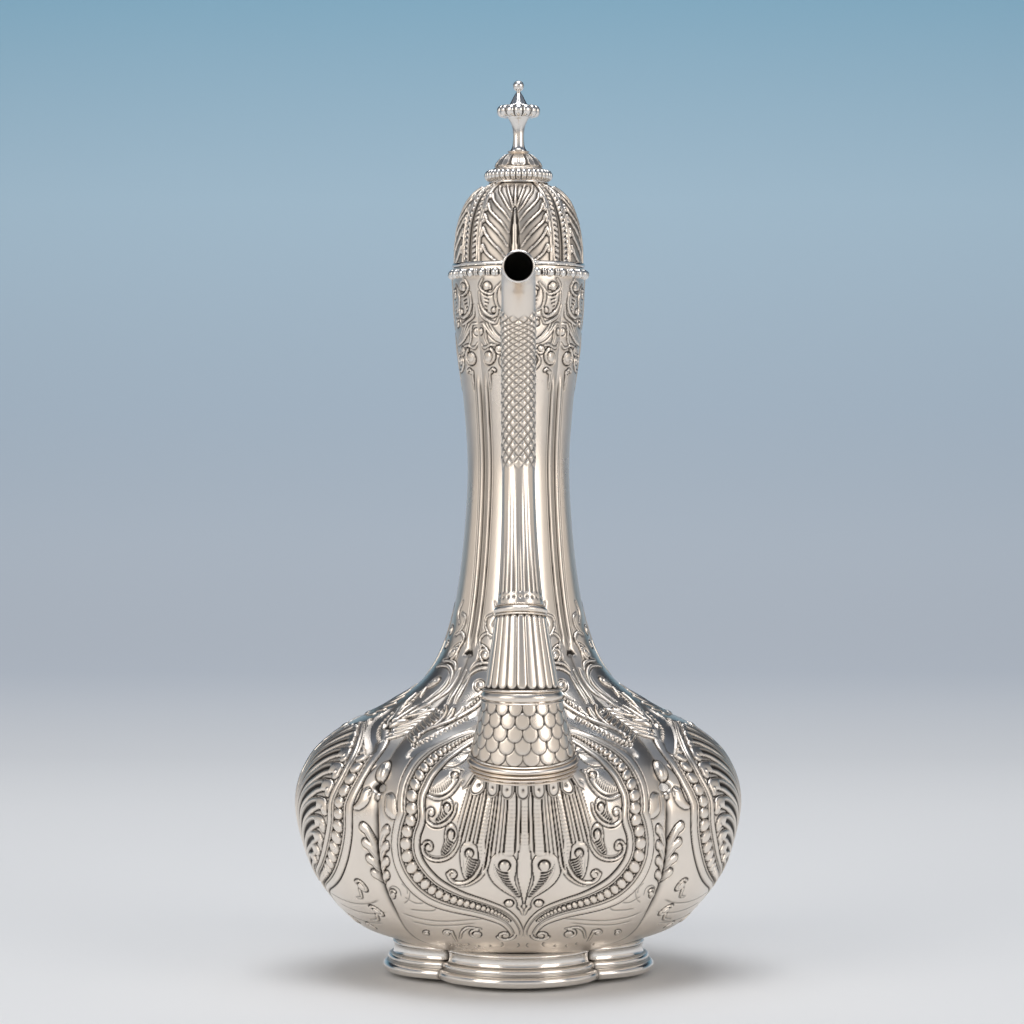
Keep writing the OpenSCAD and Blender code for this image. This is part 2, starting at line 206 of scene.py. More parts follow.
def grid_mesh(name, points, look, replaced=(), closed=True, dark=None, normals=None, body="pot"):
    """A mesh object from rows and columns of points in millimetres. A closed one joins up round.

    look is a material and its slot (the slot is not used), and replaced names the CAD nodes that the mesh
    stands in for.
    Normals come from the grid if none are given, and empty ones leave the mesh's own.
    """
    rows, cols = points.shape[:2]
    index = np.arange(rows * cols).reshape(rows, cols)
    if closed:
        index = np.concatenate([index, index[:, :1]], axis=1)
    if normals is None:
        normals = grid_normals(points, closed)

    def corners(grid):
        return np.stack([grid[:-1, :-1], grid[:-1, 1:], grid[1:, 1:], grid[1:, :-1]], axis=2)

    quads = corners(index).reshape(-1, 4)
    flat = np.meshgrid(np.linspace(0, 1, index.shape[1]), np.linspace(0, 1, rows))
    mesh = bpy.data.meshes.new(name)
    mesh.vertices.add(rows * cols)
    mesh.vertices.foreach_set("co", (points * MM).astype(np.float32).ravel())
    mesh.loops.add(quads.size)
    mesh.polygons.add(len(quads))
    mesh.polygons.foreach_set("loop_start", np.arange(0, quads.size, 4, dtype=np.int32))
    mesh.loops.foreach_set("vertex_index", quads.astype(np.int32).ravel())
    mesh.update(calc_edges=True)
    layer = mesh.uv_layers.new(name="OFBake")
    layer.data.foreach_set("uv", corners(np.stack(flat, axis=-1)).astype(np.float32).ravel())
    if dark is not None:
        attribute = mesh.attributes.new("dark", "FLOAT", "POINT")
        attribute.data.foreach_set("value", dark.astype(np.float32).ravel())
    mesh.polygons.foreach_set("use_smooth", np.ones(len(quads), dtype=bool))
    if len(normals):
        mesh.normals_split_custom_set_from_vertices(normals.reshape(-1, 3).tolist())
    mesh.update()
    obj = bpy.data.objects.new(name, mesh)
    bpy.context.scene.collection.objects.link(obj)
    material, slot = look
    mesh.materials.append(material)
    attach(obj, body)
    if replaced:
        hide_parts(*replaced)


# ---- Relief -------------------------------------------------------------------------

class Relief:
    """The height of the chasing over a grid of w and s, built up from ridges, balls and cuts."""

    def __init__(self, w, s):
        self.w = w
        self.s = s
        self.base = np.zeros_like(w)
        self.high = np.zeros_like(w)
        self.flank = np.zeros_like(w)
        self.cuts = np.zeros_like(w)
        self.ground = np.zeros_like(w)

    def window(self, points, reach):
        low = points.min(axis=0) - reach
        high = points.max(axis=0) + reach
        rows = np.flatnonzero((self.s[:, 0] > low[1]) & (self.s[:, 0] < high[1]))
        if not len(rows):
            return None
        rows = slice(rows[0], rows[-1] + 1)
        inside = ((self.w[rows] > low[0]) & (self.w[rows] < high[0])).any(axis=0)
        cols = np.flatnonzero(inside)
        if not len(cols):
            return None
        return rows, slice(cols[0], cols[-1] + 1)

    def near(self, path, reach):
        """The window round a path, with the distance from it, signed by side, and the part along it."""
        box = self.window(path, reach)
        if box is None:
            return None
        w, s = self.w[box], self.s[box]
        run = lengths(path)
        best = np.full(w.shape, 1e9)
        along = np.zeros_like(w)
        side = np.ones_like(w)
        for a, b, start in zip(path, path[1:], run):
            d = b - a
            size = math.hypot(*d)
            if size < 1e-6:
                continue
            x, y = w - a[0], s - a[1]
            t = np.clip((x * d[0] + y * d[1]) / size ** 2, 0, 1)
            gap = (x - t * d[0]) ** 2 + (y - t * d[1]) ** 2
            closer = gap < best
            best[closer] = gap[closer]
            along[closer] = (start + t * size)[closer]
            side[closer] = np.sign(d[0] * y - d[1] * x)[closer]
        return box, np.sqrt(best), side, along / run[-1]

    def fade(self, factor, box=...):
        """Weakens what has been drawn so far by a factor, in the whole grid or in a window of it."""
        for field in (self.high, self.flank, self.cuts):
            field[box] *= factor

    def lift(self, box, height, flank):
        self.high[box] = np.maximum(self.high[box], height)
        self.flank[box] = np.maximum(self.flank[box], flank)

    def ridge(self, points, width, height, flank=0.22, smooth=True):
        """A rounded raised line. width is one number or several, spaced evenly along it."""
        path = spline(points) if smooth else np.asarray(points, float)
        widths = np.atleast_1d(np.asarray(width, float))
        found = self.near(path, widths.max() / 2 + 1)
        if found is None:
            return
        box, gap, _, along = found
        half = np.interp(along, np.linspace(0, 1, len(widths)), widths) / 2
        half = np.maximum(half, 0.05)
        rise = height * (half / (widths.max() / 2)) ** 0.6
        top = rise * half_round(gap / half)
        beside = flank * bump(gap - half, 0.15, 0.3) * (half / (widths.max() / 2)) ** 0.4
        self.cuts[box] = np.where(gap < half, 0, self.cuts[box])
        self.lift(box, top, beside)

    def cut(self, points, width, depth, ends=0.12, smooth=True):
        """An engraved line that runs out softly at its ends. width is one number or several."""
        path = spline(points) if smooth else np.asarray(points, float)
        widths = np.atleast_1d(np.asarray(width, float))
        found = self.near(path, widths.max() + 0.6)
        if found is None:
            return
        box, gap, _, along = found
        fade = smoothstep(0, ends, along) * smoothstep(0, ends, 1 - along) if ends else 1
        half = np.interp(along, np.linspace(0, 1, len(widths)), widths) / 2
        line = depth * np.sqrt(2 * half / widths.max()) * bump(gap, 0, half) * fade
        self.cuts[box] = np.maximum(self.cuts[box], line)

    def strokes(self, ends, count, reach, sizes, width, depth):
        """A plume's strokes: each starts thick on the line of ends and runs out along reach."""
        line = spline(ends)
        run = lengths(line)
        offsets = np.array(reach, float)
        for k in range(count):
            t = k / (count - 1)
            start = np.array([np.interp(t * run[-1], run, line[:, c]) for c in (0, 1)])
            size = np.interp(t, np.linspace(0, 1, len(sizes)), sizes)
            self.cut(start + size * offsets, (width, width * 0.8, width * 0.3, 0.12), depth, 0)

    def ball(self, centre, radius, height, flank=0.3, aspect=1.0, turn=0.0, power=0.55):
        """A round or oval dome. aspect is its length over its width, turn the angle of its length."""
        c = np.array([centre], float)
        box = self.window(c, radius * max(aspect, 1) + 1)
        if box is None:
            return
        x, y = self.w[box] - c[0, 0], self.s[box] - c[0, 1]
        ca, sa = math.cos(turn), math.sin(turn)
        along = (x * ca + y * sa) / aspect
        over = -x * sa + y * ca
        rho = np.hypot(along, over)
        top = height * np.clip(1 - (rho / radius) ** 2, 0, 1) ** power
        beside = flank * bump(rho - radius, 0.12, 0.3)
        self.lift(box, top, beside)

    def ring(self, centre, radius, start, end, width, depth):
        """An engraved arc, by its angles in degrees."""
        self.cut(arc(centre, radius, start, end), width, depth, 0.08, smooth=False)

    def curl(self, centre, radius, start, turns, hand, width, height, eye=0.42):
        """A scroll that winds in to a round eye, from an angle in degrees. hand is 1 or -1."""
        steps = int(18 * turns) + 2
        t = np.linspace(0, 1, steps)
        angle = np.radians(start) + hand * t * turns * 2 * math.pi
        r = (radius - width / 2) * (1 - 0.62 * t ** 0.9)
        path = np.stack([centre[0] + r * np.cos(angle), centre[1] + r * np.sin(angle)], axis=-1)
        self.ridge(path, (width, width * 0.75), height, 0.3, smooth=False)
        self.ball(centre, radius * eye, height * 1.25)

    def comb(self, first, last, count, reach, width, depth):
        """A row of short engraved strokes, longest in its middle."""
        first, last, reach = (np.array(v, float) for v in (first, last, reach))
        for k in range(count):
            t = k / (count - 1)
            start = first + (last - first) * t
            size = 0.55 + 0.45 * math.sin(math.pi * min(1, t + 0.25))
            self.cut([start, start + reach * size * 0.5, start + reach * size], width, depth, 0.15)

    def patch(self, points, height, edge, flank=0.25):
        """A low raised field inside a closed outline."""
        path = spline(list(points) + [points[0]], 6)
        found = self.near(path, 1.2)
        if found is None:
            return
        box, gap, _, _ = found
        w, s = self.w[box], self.s[box]
        inside = np.zeros(w.shape, bool)
        for a, b in zip(path, path[1:]):
            if a[1] == b[1]:
                continue
            crosses = (a[1] > s) != (b[1] > s)
            inside ^= crosses & (w < (b[0] - a[0]) * (s - a[1]) / (b[1] - a[1]) + a[0])
        top = np.where(inside, height * (1 - bump(gap, 0, edge) * 0.999), 0)
        beside = np.where(inside, 0, flank * bump(gap, 0.15, 0.32))
        self.cuts[box] = np.where(inside, 0, self.cuts[box])
        self.lift(box, top, beside)

    def height(self):
        cover = smoothstep(0.02, 0.14, self.high)
        return self.base + self.high - self.flank * (1 - cover) - self.cuts

    def darkness(self, spacing):
        """How dark each point is: oxidised in the cuts, beside the ridges and wherever the relief is
        hollow, with the darkness drawn on the ground added, which holds painted shade along the creases.
        """
        total = self.height()
        cover = smoothstep(0.02, 0.14, self.high)
        hollow = box_blur(total, max(1, int(0.9 / spacing))) - total
        wide = box_blur(total, max(1, int(2.2 / spacing))) - total
        return np.clip(self.flank * (1 - cover) * 1.1 + self.cuts * 1.5
                       + np.clip(hollow, 0, 1) * 2.4 + np.clip(wide, 0, 1) * 0.8 + self.ground, 0, 1)


def arc(centre, radius, start, end):
    angle = np.radians(np.linspace(start, end, max(4, int(abs(end - start) / 18) + 2)))
    return np.stack([centre[0] + radius * np.cos(angle), centre[1] + radius * np.sin(angle)], axis=-1)


# ---- Chasing of the bulb ------------------------------------------------------------

# The beaded border of the front lobe, from its top: [w, s, scale of its reeds, width of a bead]
FRONT_BORDER = [
    (14, 96.2, 0.5, 0.6), (18.5, 93, 0.6, 1.1), (23.5, 89, 0.72, 1.9), (28.5, 85, 0.85, 2.7),
    (33.6, 79.6, 0.96, 3.5), (36.1, 75.6, 1, 4), (38, 71.5, 1, 4.2), (38.5, 67.3, 1, 4.1),
    (38.2, 63.6, 1, 4), (39.9, 59.5, 1.02, 4.2), (40.7, 55.5, 1.05, 4.4), (40.3, 51.4, 1.05, 4.4),
    (38.4, 47.4, 1.02, 4.2), (35.3, 43.8, 0.98, 3.8), (32.1, 41.1, 0.94, 3.3), (29, 39.1, 0.9, 3),
    (24.6, 37.2, 0.82, 2.6), (19.8, 35.6, 0.72, 2.2), (15.4, 34.4, 0.66, 1.8), (11.7, 33.2, 0.62, 1.4),
    (7.8, 31.4, 0.58, 1.0), (4.9, 29.1, 0.5, 0.6), (2.9, 26, 0.42, 0.4), (2, 23, 0.36, 0.3),
    (2.3, 20.4, 0.24, 0.3),
]
# The same for the side and back lobes
SIDE_BORDER = [
    (14, 99.5, 0.5, 0.7), (19.5, 97, 0.6, 1.3), (25.5, 94, 0.7, 2), (31, 90.5, 0.82, 2.8),
    (35.8, 86.4, 0.92, 3.5), (39.2, 81.8, 1, 4), (40.7, 77.3, 1, 4.2), (41.2, 73, 1, 4.3),
    (40.6, 68.8, 1, 4.1), (39.8, 65.2, 1, 3.9), (39.9, 61.5, 1, 4.2), (39.1, 57.2, 1, 4.6),
    (36.6, 52.6, 0.98, 4.5), (33.2, 48.5, 0.95, 4.2), (29.7, 45.3, 0.9, 3.7), (26.2, 42.9, 0.84, 3.2),
    (21.8, 40.6, 0.76, 2.6), (17.2, 38.8, 0.7, 2.2), (13, 37.2, 0.66, 1.8), (9.4, 35.4, 0.62, 1.4),
    (6.4, 33, 0.58, 1), (4.3, 30, 0.5, 0.5), (3, 26.5, 0.42, 0.3), (2.4, 22, 0.3, 0.3),
]
# Edges of the reeds beside the beads, as [from, to, height]: less than 0 lies outside the border
BORDER_REEDS = [(-6.2, -3.6, 0.32), (-3.3, -2.6, 0.2), (2.6, 3.2, 0.2), (3.5, 5.3, 0.32)]
# Engraved lines between them, as [place, depth]
BORDER_LINES = [(-6.5, 0.36), (-3.45, 0.24), (-2.4, 0.36), (2.4, 0.36), (3.35, 0.26), (5.65, 0.44)]


def beaded_border(r, border):
    """A string of beads in a channel, with a broad reed outside it and two narrow ones inside."""
    table = spline(border)
    path = table[:, :2]
    box, gap, side, along = r.near(path, 8)
    run = lengths(path)
    scale = np.interp(along * run[-1], run, table[:, 2])
    q = gap * -side / scale
    faded = smoothstep(0, 0.02, along) * smoothstep(0, 0.03, 1 - along)
    body = np.zeros_like(q)
    for low, high, height in BORDER_REEDS:
        middle, half = (low + high) / 2, (high - low) / 2
        body = np.maximum(body, height * scale * half_round((q - middle) / half))
    lines = np.zeros_like(q)
    for place, depth in BORDER_LINES:
        lines = np.maximum(lines, depth * bump((q - place) * scale, 0, 0.26))
    covered = (q > -6.5) & (q < 5.6) & (faded > 0.5)
    r.fade(~covered, box)
    channel = 0.14 * (1 - smoothstep(2.2, 2.6, np.abs(q)))
    r.base[box] -= channel * faded * scale
    r.high[box] = np.maximum(r.high[box], body * faded)
    r.cuts[box] = np.maximum(r.cuts[box], lines * faded * np.sqrt(scale))
    place = 0.5
    while place < run[-1]:
        width = np.interp(place, run, table[:, 3])
        if width < 0.55:
            break
        step = width * 0.9 + 0.2
        at = place + step / 2
        here = [np.interp(at, run, path[:, k]) for k in (0, 1)]
        ahead = [np.interp(at + 0.5, run, path[:, k]) for k in (0, 1)]
        turn = math.atan2(ahead[1] - here[1], ahead[0] - here[0])
        r.ball(here, width * 0.53, 0.28 + width * 0.12, flank=0.4, aspect=0.86, turn=turn, power=0.36)
        place += step


def plume(r, outline, eye, ring, ends, count, reach, sizes, flows=()):
    """A scrolled leaf: a raised field with a round eye, and strokes that open from its inner side.

    eye is its centre, radius and aspect, ring the angles of the groove round it, and ends the line
    on which the strokes start. flows are the fine lines along the leaf.
    """
    r.patch(outline, 0.36, 1.0, 0.3)
    centre, radius, aspect = eye
    r.ball(centre, radius, 0.62, 0.05, aspect, math.pi / 2)
    turn = np.radians(np.linspace(*ring, 20))
    reach_out = radius + 0.42
    path = np.stack([centre[0] + reach_out * np.cos(turn),
                     centre[1] + reach_out * aspect * np.sin(turn)], axis=-1)
    r.cut(path, (0.35, 0.75, 0.85, 0.7, 0.3), 0.6, 0, smooth=False)
    r.strokes(ends, count, reach, sizes, 0.75, 0.62)
    for flow in flows:
        r.cut(flow, (0.4, 0.3, 0.15), 0.16, 0.1)


def scroll_tail(r, points, centre, radius, start):
    """A long S-shaped line that ends in a curl."""
    r.ridge(points, (0.6, 1, 1), 0.36, 0.28)
    r.curl(centre, radius, start, 0.95, 1, 0.85, 0.38, 0.36)


def ground_lines(r, lines, dashes):
    """Fine lines on the plain ground under the border, and upright dashes as [w, s, length]."""
    for line in lines:
        r.cut(line, 0.6, 0.16)
    for w, s, size in dashes:
        r.cut([(w, s + size / 2), (w - 0.5, s), (w + 0.2, s - size / 2)], 0.6, 0.18)


# Grooves between the pleats of the fan, as distances from the middle at s = 65, and the deep ones
PLEAT_GROOVES = [1.2, 2.5, 5.5, 6.5, 7.6, 8.8, 9.7, 10.6, 13, 14.1, 15.3, 16.5, 17.8, 19.1, 20.4]
DEEP_GROOVES = [2.5, 5.5, 8.8, 9.7, 13, 15.3, 17.8]
# The fan's lower edge, as [w, s]
FAN_BOTTOM = [(0, 54), (2.4, 54), (3.4, 52.6), (9.6, 52.6), (11, 50.5), (11.8, 46), (13, 46), (14, 52),
              (14.6, 56), (19.4, 56.6), (20.4, 58.5), (21.2, 62), (22, 65.5), (23, 69)]


def spout_swell(r):
    """The body rises to meet the spout's skin under its fringe."""
    front = np.stack([r.place[..., 0], -r.place[..., 1], r.place[..., 2]], axis=-1)
    inside = np.full(r.w.shape, -9.0)
    for y, z, radius in SPOUT_ROOT:
        dy, dz = front[..., 1] - y, front[..., 2] - z
        inside = np.maximum(inside, radius - np.sqrt(front[..., 0] ** 2 + dy ** 2 + dz ** 2))
    soft = 0.6
    rise = soft * np.log1p(np.exp(np.clip((inside - 0.5) / soft, -20, 20)))
    r.base += np.clip(rise * 1.1, 0, 6.5) * (1 - smoothstep(72, 80, front[..., 2]))


def pleat_fan(r):
    """The fan of pleats under the spout, which spreads downwards."""
    scale = 1 + 0.0155 * (65 - r.s)
    across = r.w / scale
    low = np.interp(r.w, *np.array(FAN_BOTTOM).T)
    inside = smoothstep(-0.3, 0.3, r.s - low) * (r.s < 86) * (across < 20.4)
    gap = np.abs(across[..., None] - np.array(PLEAT_GROOVES)).min(axis=-1)
    deep = np.abs(across[..., None] - np.array(DEEP_GROOVES)).min(axis=-1)
    pleat = 0.3 * (1 - bump(gap, 0, 0.36))
    valley = 0.18 * bump(gap, 0, 0.25) + 0.2 * bump(deep, 0, 0.3)
    ladder = between(10.7, 10.8, 12.7, 12.8, across)
    ladder += between(2.7, 2.8, 5.2, 5.3, across) * 0.5
    rungs = 0.13 * ladder * (0.5 + 0.5 * np.cos(2 * math.pi * r.s / 1.15)) ** 2
    r.high = np.maximum(r.high, pleat * inside)
    r.cuts = np.maximum(r.cuts, (valley + rungs) * inside)


def chase_front(r):
    """The spout's lobe, one half of it."""
    spout_swell(r)
    pleat_fan(r)
    r.patch([(0, 69), (0.8, 66), (1.1, 60), (1.6, 54), (2.1, 49.5), (2.1, 46.4), (1.6, 43.4), (0.8, 40),
             (0.3, 37), (0, 36), (-0.8, 40), (-1.6, 43.4), (-2.1, 46.4), (-2.1, 49.5), (-1.6, 54),
             (-1.1, 60), (-0.8, 66)], 0.3, 0.7, 0.3)
    for k in range(12):
        s = 67.5 - 1.05 * k
        r.cut([(-1, s), (0, s), (0.9 + 0.04 * k, s)], 0.3, 0.1, 0)
    # the scrolled leaves beside the fan, from the middle to the outside
    plume(r, [(2.6, 47.6), (2.5, 50.2), (3.9, 52.5), (6.7, 53.4), (9.5, 52.3), (11.1, 49.6), (10.9, 46.2),
              (9.4, 43.4), (7.2, 41.2), (4.8, 39.4), (2.9, 38), (2, 36), (2, 34.2), (1.2, 33.4),
              (0.7, 36), (1.1, 38.6), (2.1, 41), (2.9, 43.4), (3, 45.6)],
          ((6.1, 49.1), 1.35, 1), (235, -50),
          [(5.3, 46.7), (5.1, 45.2), (4.5, 43.7), (3.9, 42.4), (3.1, 41.1), (2.3, 39.8), (1.6, 38.4)],
          10, [(0, 0), (1.5, 0.2), (3, 1.2), (4, 3.2)], (1, 0.8, 0.28),
          [[(2, 36.6), (3.6, 40), (6.6, 43), (8.8, 46.2), (9.4, 49.6), (8.4, 51.4)],
           [(2.6, 38.8), (5.2, 41.9), (8, 45), (8.7, 48.6)]])
    plume(r, [(14.5, 52), (14.8, 54.6), (16.3, 56.4), (18.4, 56.4), (19.9, 54.4), (20.1, 51),
              (19.6, 47.6), (18.9, 45.2), (18.1, 44.4), (16.6, 45.8), (15.3, 47.8), (14.6, 50)],
          ((17.2, 52.9), 0.95, 1.1), (235, -60),
          [(14.9, 50.6), (15.3, 49.2), (15.8, 48), (16.4, 46.9), (17, 45.9), (17.6, 45.1)],
          8, [(0, 0), (1.2, 0.4), (2.3, 1.5), (3, 3.4)], (1, 0.75, 0.3),
          [[(18.4, 45.6), (18.9, 48.6), (19, 52), (18.6, 54.6)]])
    plume(r, [(21.4, 58), (21.7, 60.6), (23, 62.1), (24.6, 61.6), (25.4, 59.2), (25.6, 56), (26.6, 52.9),
              (26.1, 52), (24.7, 53), (23.2, 54.9), (22, 56.6)],
          ((23.4, 58.6), 0.85, 1.35), (235, -60),
          [(22.9, 56.1), (23.7, 55), (24.5, 54), (25.2, 53.2), (25.8, 52.6)],
          6, [(0, 0), (0.9, 0.5), (1.6, 1.6), (1.9, 3.4)], (0.9, 0.7, 0.4))
    plume(r, [(22.7, 66.4), (23, 68.8), (24.5, 70), (26.1, 69), (26.6, 66.8), (27, 64.8), (28.6, 62.9),
              (27.8, 62.1), (25.6, 63.2), (23.8, 64.8)],
          ((24.8, 67), 0.85, 1.1), (235, -60),
          [(25, 64.9), (26, 64), (27, 63.3), (28, 62.8)],
          5, [(0, 0), (0.5, 0.4), (0.8, 1.1), (0.9, 2)], (1, 0.9, 0.6))
    # the leaf above them
    r.patch([(32, 71.6), (28, 70.6), (24.4, 71.8), (21.6, 74.8), (20.2, 78.6), (22.6, 79.8),
             (26.5, 79), (29.8, 76.6), (31.8, 73.8)], 0.42, 1.6)
    r.strokes([(30.6, 71.8), (28, 71.6), (25.4, 72.6), (23.2, 75)], 11,
              [(0, 0), (0.1, 0.8), (0.4, 1.7), (0.9, 2.6)], (0.7, 1, 0.8), 0.5, 0.36)
    r.ball((22, 77.3), 0.95, 0.66)
    r.ring((22, 77.3), 1.4, 200, -60, 0.6, 0.42)
    r.ridge([(32.4, 70.4), (28.2, 69.4), (24.2, 70.8), (21, 74.4), (19.6, 78.6)], (0.7, 1, 0.6), 0.34)
    r.patch([(27.4, 80.9), (22.8, 80.6), (19.4, 82.4), (17.6, 85.6), (20.6, 85), (24.2, 83.2)], 0.45, 1.4)
    r.patch([(17.2, 89), (16.8, 87.2), (18.6, 86.5), (21.4, 86.6), (19.4, 88.2)], 0.4, 0.9)
    # their long tails
    r.ridge([(10.6, 57), (10.9, 52), (11.7, 48.4), (13.9, 44.9), (17.4, 42.4), (20.8, 41.7)],
            (0.3, 0.7, 0.8, 0.3), 0.26, 0.2)
    scroll_tail(r, [(12.6, 58), (12.7, 53), (13.6, 48.9), (15.3, 45.6), (17.9, 43.4), (20.8, 42.7),
                    (23.2, 43.7), (24.4, 45.7)], (22.7, 45.5), 1.9, 0)
    scroll_tail(r, [(20, 60.5), (20.5, 56.8), (21.8, 53.7), (24, 51.4), (27.2, 50.2), (30.4, 50.3),
                    (33, 52), (33.8, 54.4)], (31.4, 54.3), 2.4, 0)
    r.cut([(22.4, 54.8), (24.6, 52.6), (27.6, 51.5), (30.4, 51.7), (32, 53)], 0.4, 0.2)
    scroll_tail(r, [(21.6, 68), (22.2, 65.4), (23.9, 63), (26.6, 61.4), (29.6, 61.1), (31.8, 62.5),
                    (32.3, 64.8)], (30.5, 65.1), 1.8, 0)
    r.ball((4.6, 35.7), 1.15, 0.42)
    r.ring((4.6, 35.7), 1.6, 200, -10, 0.5, 0.34)
    r.ridge([(1.6, 34.8), (0.8, 33.4), (0.3, 31.5)], (0.5, 0.8, 0.4), 0.3)
    # under the border
    scroll_tail(r, [(2.4, 22.6), (3, 20.8), (4.4, 19.6), (6.4, 19.4), (7.8, 20.8)],
                (5.7, 21.8), 2, -25)
    ground_lines(r, [[(45, 29), (36, 27.4), (26, 27.2), (17, 28.6), (10, 29.4)],
                     [(40, 25.6), (31, 24.8), (22, 25.8), (14, 27.4)],
                     [(40, 31), (35, 31), (30, 31.5), (28.6, 33.2), (30.2, 34.2)],
                     [(38.6, 40.4), (39.8, 35.4), (42.4, 33)],
                     [(43, 41.2), (40.4, 39.2), (40.2, 37)],
                     [(42, 36), (37, 34), (33, 34.4)]],
                 [(17.8, 14.6, 3), (14.4, 13, 4), (6.6, 15.6, 4.5), (1.6, 15, 4.5), (10.5, 14, 3),
                  (24.5, 12.5, 3.5)])
    r.curl((14.8, 22), 2.7, 100, 1.1, -1, 0.8, 0.3)
    r.ridge([(13.5, 24.6), (17.5, 25), (19.6, 22.8), (20.4, 19)], (0.5, 0.8, 0.4), 0.26)
    r.curl((25, 21.5), 1.9, 150, 1, -1, 0.7, 0.28)
    r.ridge([(23.2, 22.6), (22.4, 19.6), (21.6, 16.5)], (0.7, 0.6, 0.3), 0.24)
    r.curl((33.5, 20), 1.9, 120, 1, -1, 0.7, 0.26)
    beaded_border(r, FRONT_BORDER)
    # beside the crease
    r.patch([(51.4, 69.2), (48.2, 70), (46.2, 68.6), (45.6, 65.4), (44.8, 62.6), (48, 62.2),
             (51.6, 64.4)], 0.42, 1.2)
    r.curl((49, 67.6), 1.9, 60, 1, 1, 0.6, 0.3)
    crease_fronds(r, 49.6)
    r.curl((47.6, 36.2), 2.4, 140, 1.1, -1, 0.8, 0.32)
    r.cut([(50, 38), (47, 39.6), (44, 38.6), (43.2, 35.6)], 0.5, 0.2)


def crown_leaf(r):
    """Petals that open upwards over the top of a side lobe's border, between two scrolls."""
    for k in range(5):
        turn = math.radians(84 - 19 * k)
        size = 15.5 - 1.6 * k
        tip = (size * math.cos(turn), 101 + size * math.sin(turn))
        side = (0.5 * size * math.cos(turn + 0.12), 101 + 0.5 * size * math.sin(turn + 0.12))
        r.ridge([(1.2 + 0.7 * k, 102.4 - 0.2 * k), side, tip], (1, 2.4, 2.9, 1.6), 0.6, 0.34)
        r.cut([(1.6 + 0.7 * k, 103.4 - 0.2 * k), side, tip], (0.2, 0.6, 0.6, 0.3), 0.26, 0.15)
    r.curl((15.2, 104.4), 2.3, -120, 1.1, -1, 0.9, 0.4)
    r.ridge([(0, 120), (0, 112), (0, 104)], (0.5, 2.6, 1.6), 0.7, 0.36)
    r.ball((0, 101.4), 1.5, 0.7)


def crease_fronds(r, w):
    """Round-ended leaflets that open out of the crease below its recess."""
    for s in (58.6, 53.4, 48.2, 43.4):
        r.ridge([(w + 4.8, s - 9.5), (w + 3.9, s - 5), (w + 2.2, s - 1.4), (w + 0.6, s - 0.2)],
                (0.6, 1.8, 2.8, 3), 0.62, 0.4)
        r.cut([(w + 3.9, s - 6.4), (w + 2.9, s - 3.4), (w + 1.4, s - 1.4)], (0.2, 0.5, 0.4), 0.22)


# Leaflets of the palm on a side lobe: tip [w, s], how far the root lies below it, and their width
PALM_LEAFLETS = [
    ((16.5, 94.5), 24, 4.2), ((22.5, 91.5), 26, 4.6), ((28, 87), 27, 4.8), ((31.6, 81.6), 26, 4.9),
    ((33.4, 75.6), 25, 4.9), ((33.4, 69.6), 23, 4.8), ((32.6, 63.6), 21, 4.7), ((31, 57.8), 18, 4.5),
    ((28, 52.6), 15, 4.2), ((23.6, 48.2), 12, 3.9), ((18, 44.8), 9, 3.4),
]


def chase_side(r):
    """A side or back lobe, one half of it: a palm of hollow leaflets in a beaded border."""
    for (w, s), drop, wide in PALM_LEAFLETS:
        root = 3.2
        path = [(w, s - 1.2), (w - 1.4, s + 0.9), (w - 0.3 * (w - root), s - 0.02 * drop),
                (w - 0.66 * (w - root), s - 0.34 * drop), (root, s - drop)]
        r.ridge(path, (wide * 0.7, wide, wide, wide * 0.7, 1.6), 0.75, 0.34)
        hollow = spline(path[1:])[3:]
        r.cut(hollow, (wide * 0.34, wide * 0.42, wide * 0.3, wide * 0.14, 0.2), 0.85, 0.04, smooth=False)
        r.ball((w - 0.6, s - 0.6), 1, 0.95, 0.2)
    for k in range(9):
        s = 82 - 5.2 * k
        r.cut([(0.8, s), (2, s + 1.6), (2.6, s + 3.6)], (0.2, 0.6, 0.5), 0.26)
    r.ridge([(0, 92), (0, 78), (0, 66), (0, 54), (0, 44), (0, 34)],
            (0.8, 2.6, 3.6, 3.8, 3.2, 1.2), 0.9, 0.4)
    r.ball((0, 92.6), 1.7, 0.7)
    r.curl((6.4, 92), 2.6, -60, 1.1, 1, 0.9, 0.36)
    r.curl((12.4, 94.6), 2, -60, 1, 1, 0.8, 0.34)
    r.curl((4.6, 28.6), 1.9, -20, 1, 1, 0.7, 0.32)
    ground_lines(r, [[(46, 33.6), (38, 31), (28, 30.2), (18, 31.4), (11, 32.6)],
                     [(44, 28.4), (35, 26.6), (25, 26.8), (15, 28.6)],
                     [(36, 22.6), (27, 21.8), (18, 22.8), (10, 24.8)]],
                 [(17.8, 13.6, 3), (12.4, 13, 4), (6.6, 15.6, 4.5), (1.6, 15, 4.5)])
    r.curl((14.8, 21), 2.6, 100, 1.1, -1, 0.8, 0.3)
    r.curl((25, 19.5), 2, 150, 1, -1, 0.7, 0.28)
    beaded_border(r, SIDE_BORDER)
    crown_leaf(r)
    r.patch([(52.6, 69.6), (50.4, 71), (48.4, 69.6), (48, 66.6), (46.6, 64.2), (49.4, 63.8),
             (52.4, 66)], 0.4, 1)
    r.curl((51.2, 69), 1.5, 60, 1, 1, 0.6, 0.3)
    r.cut([(48.6, 79), (47.6, 74), (48.4, 68), (46.4, 64.4)], 0.7, 0.34)
    crease_fronds(r, 50.2)
    r.curl((41.6, 38), 2.7, 140, 1.2, -1, 0.9, 0.34)
    r.ridge([(39.4, 36.6), (37.4, 33.6), (34.6, 33)], (0.8, 0.6, 0.3), 0.26)
    r.curl((39, 28), 2.7, 140, 1.2, -1, 0.9, 0.34)
    r.ridge([(37, 26.4), (34.6, 24), (30.4, 23.2)], (0.8, 0.6, 0.3), 0.26)


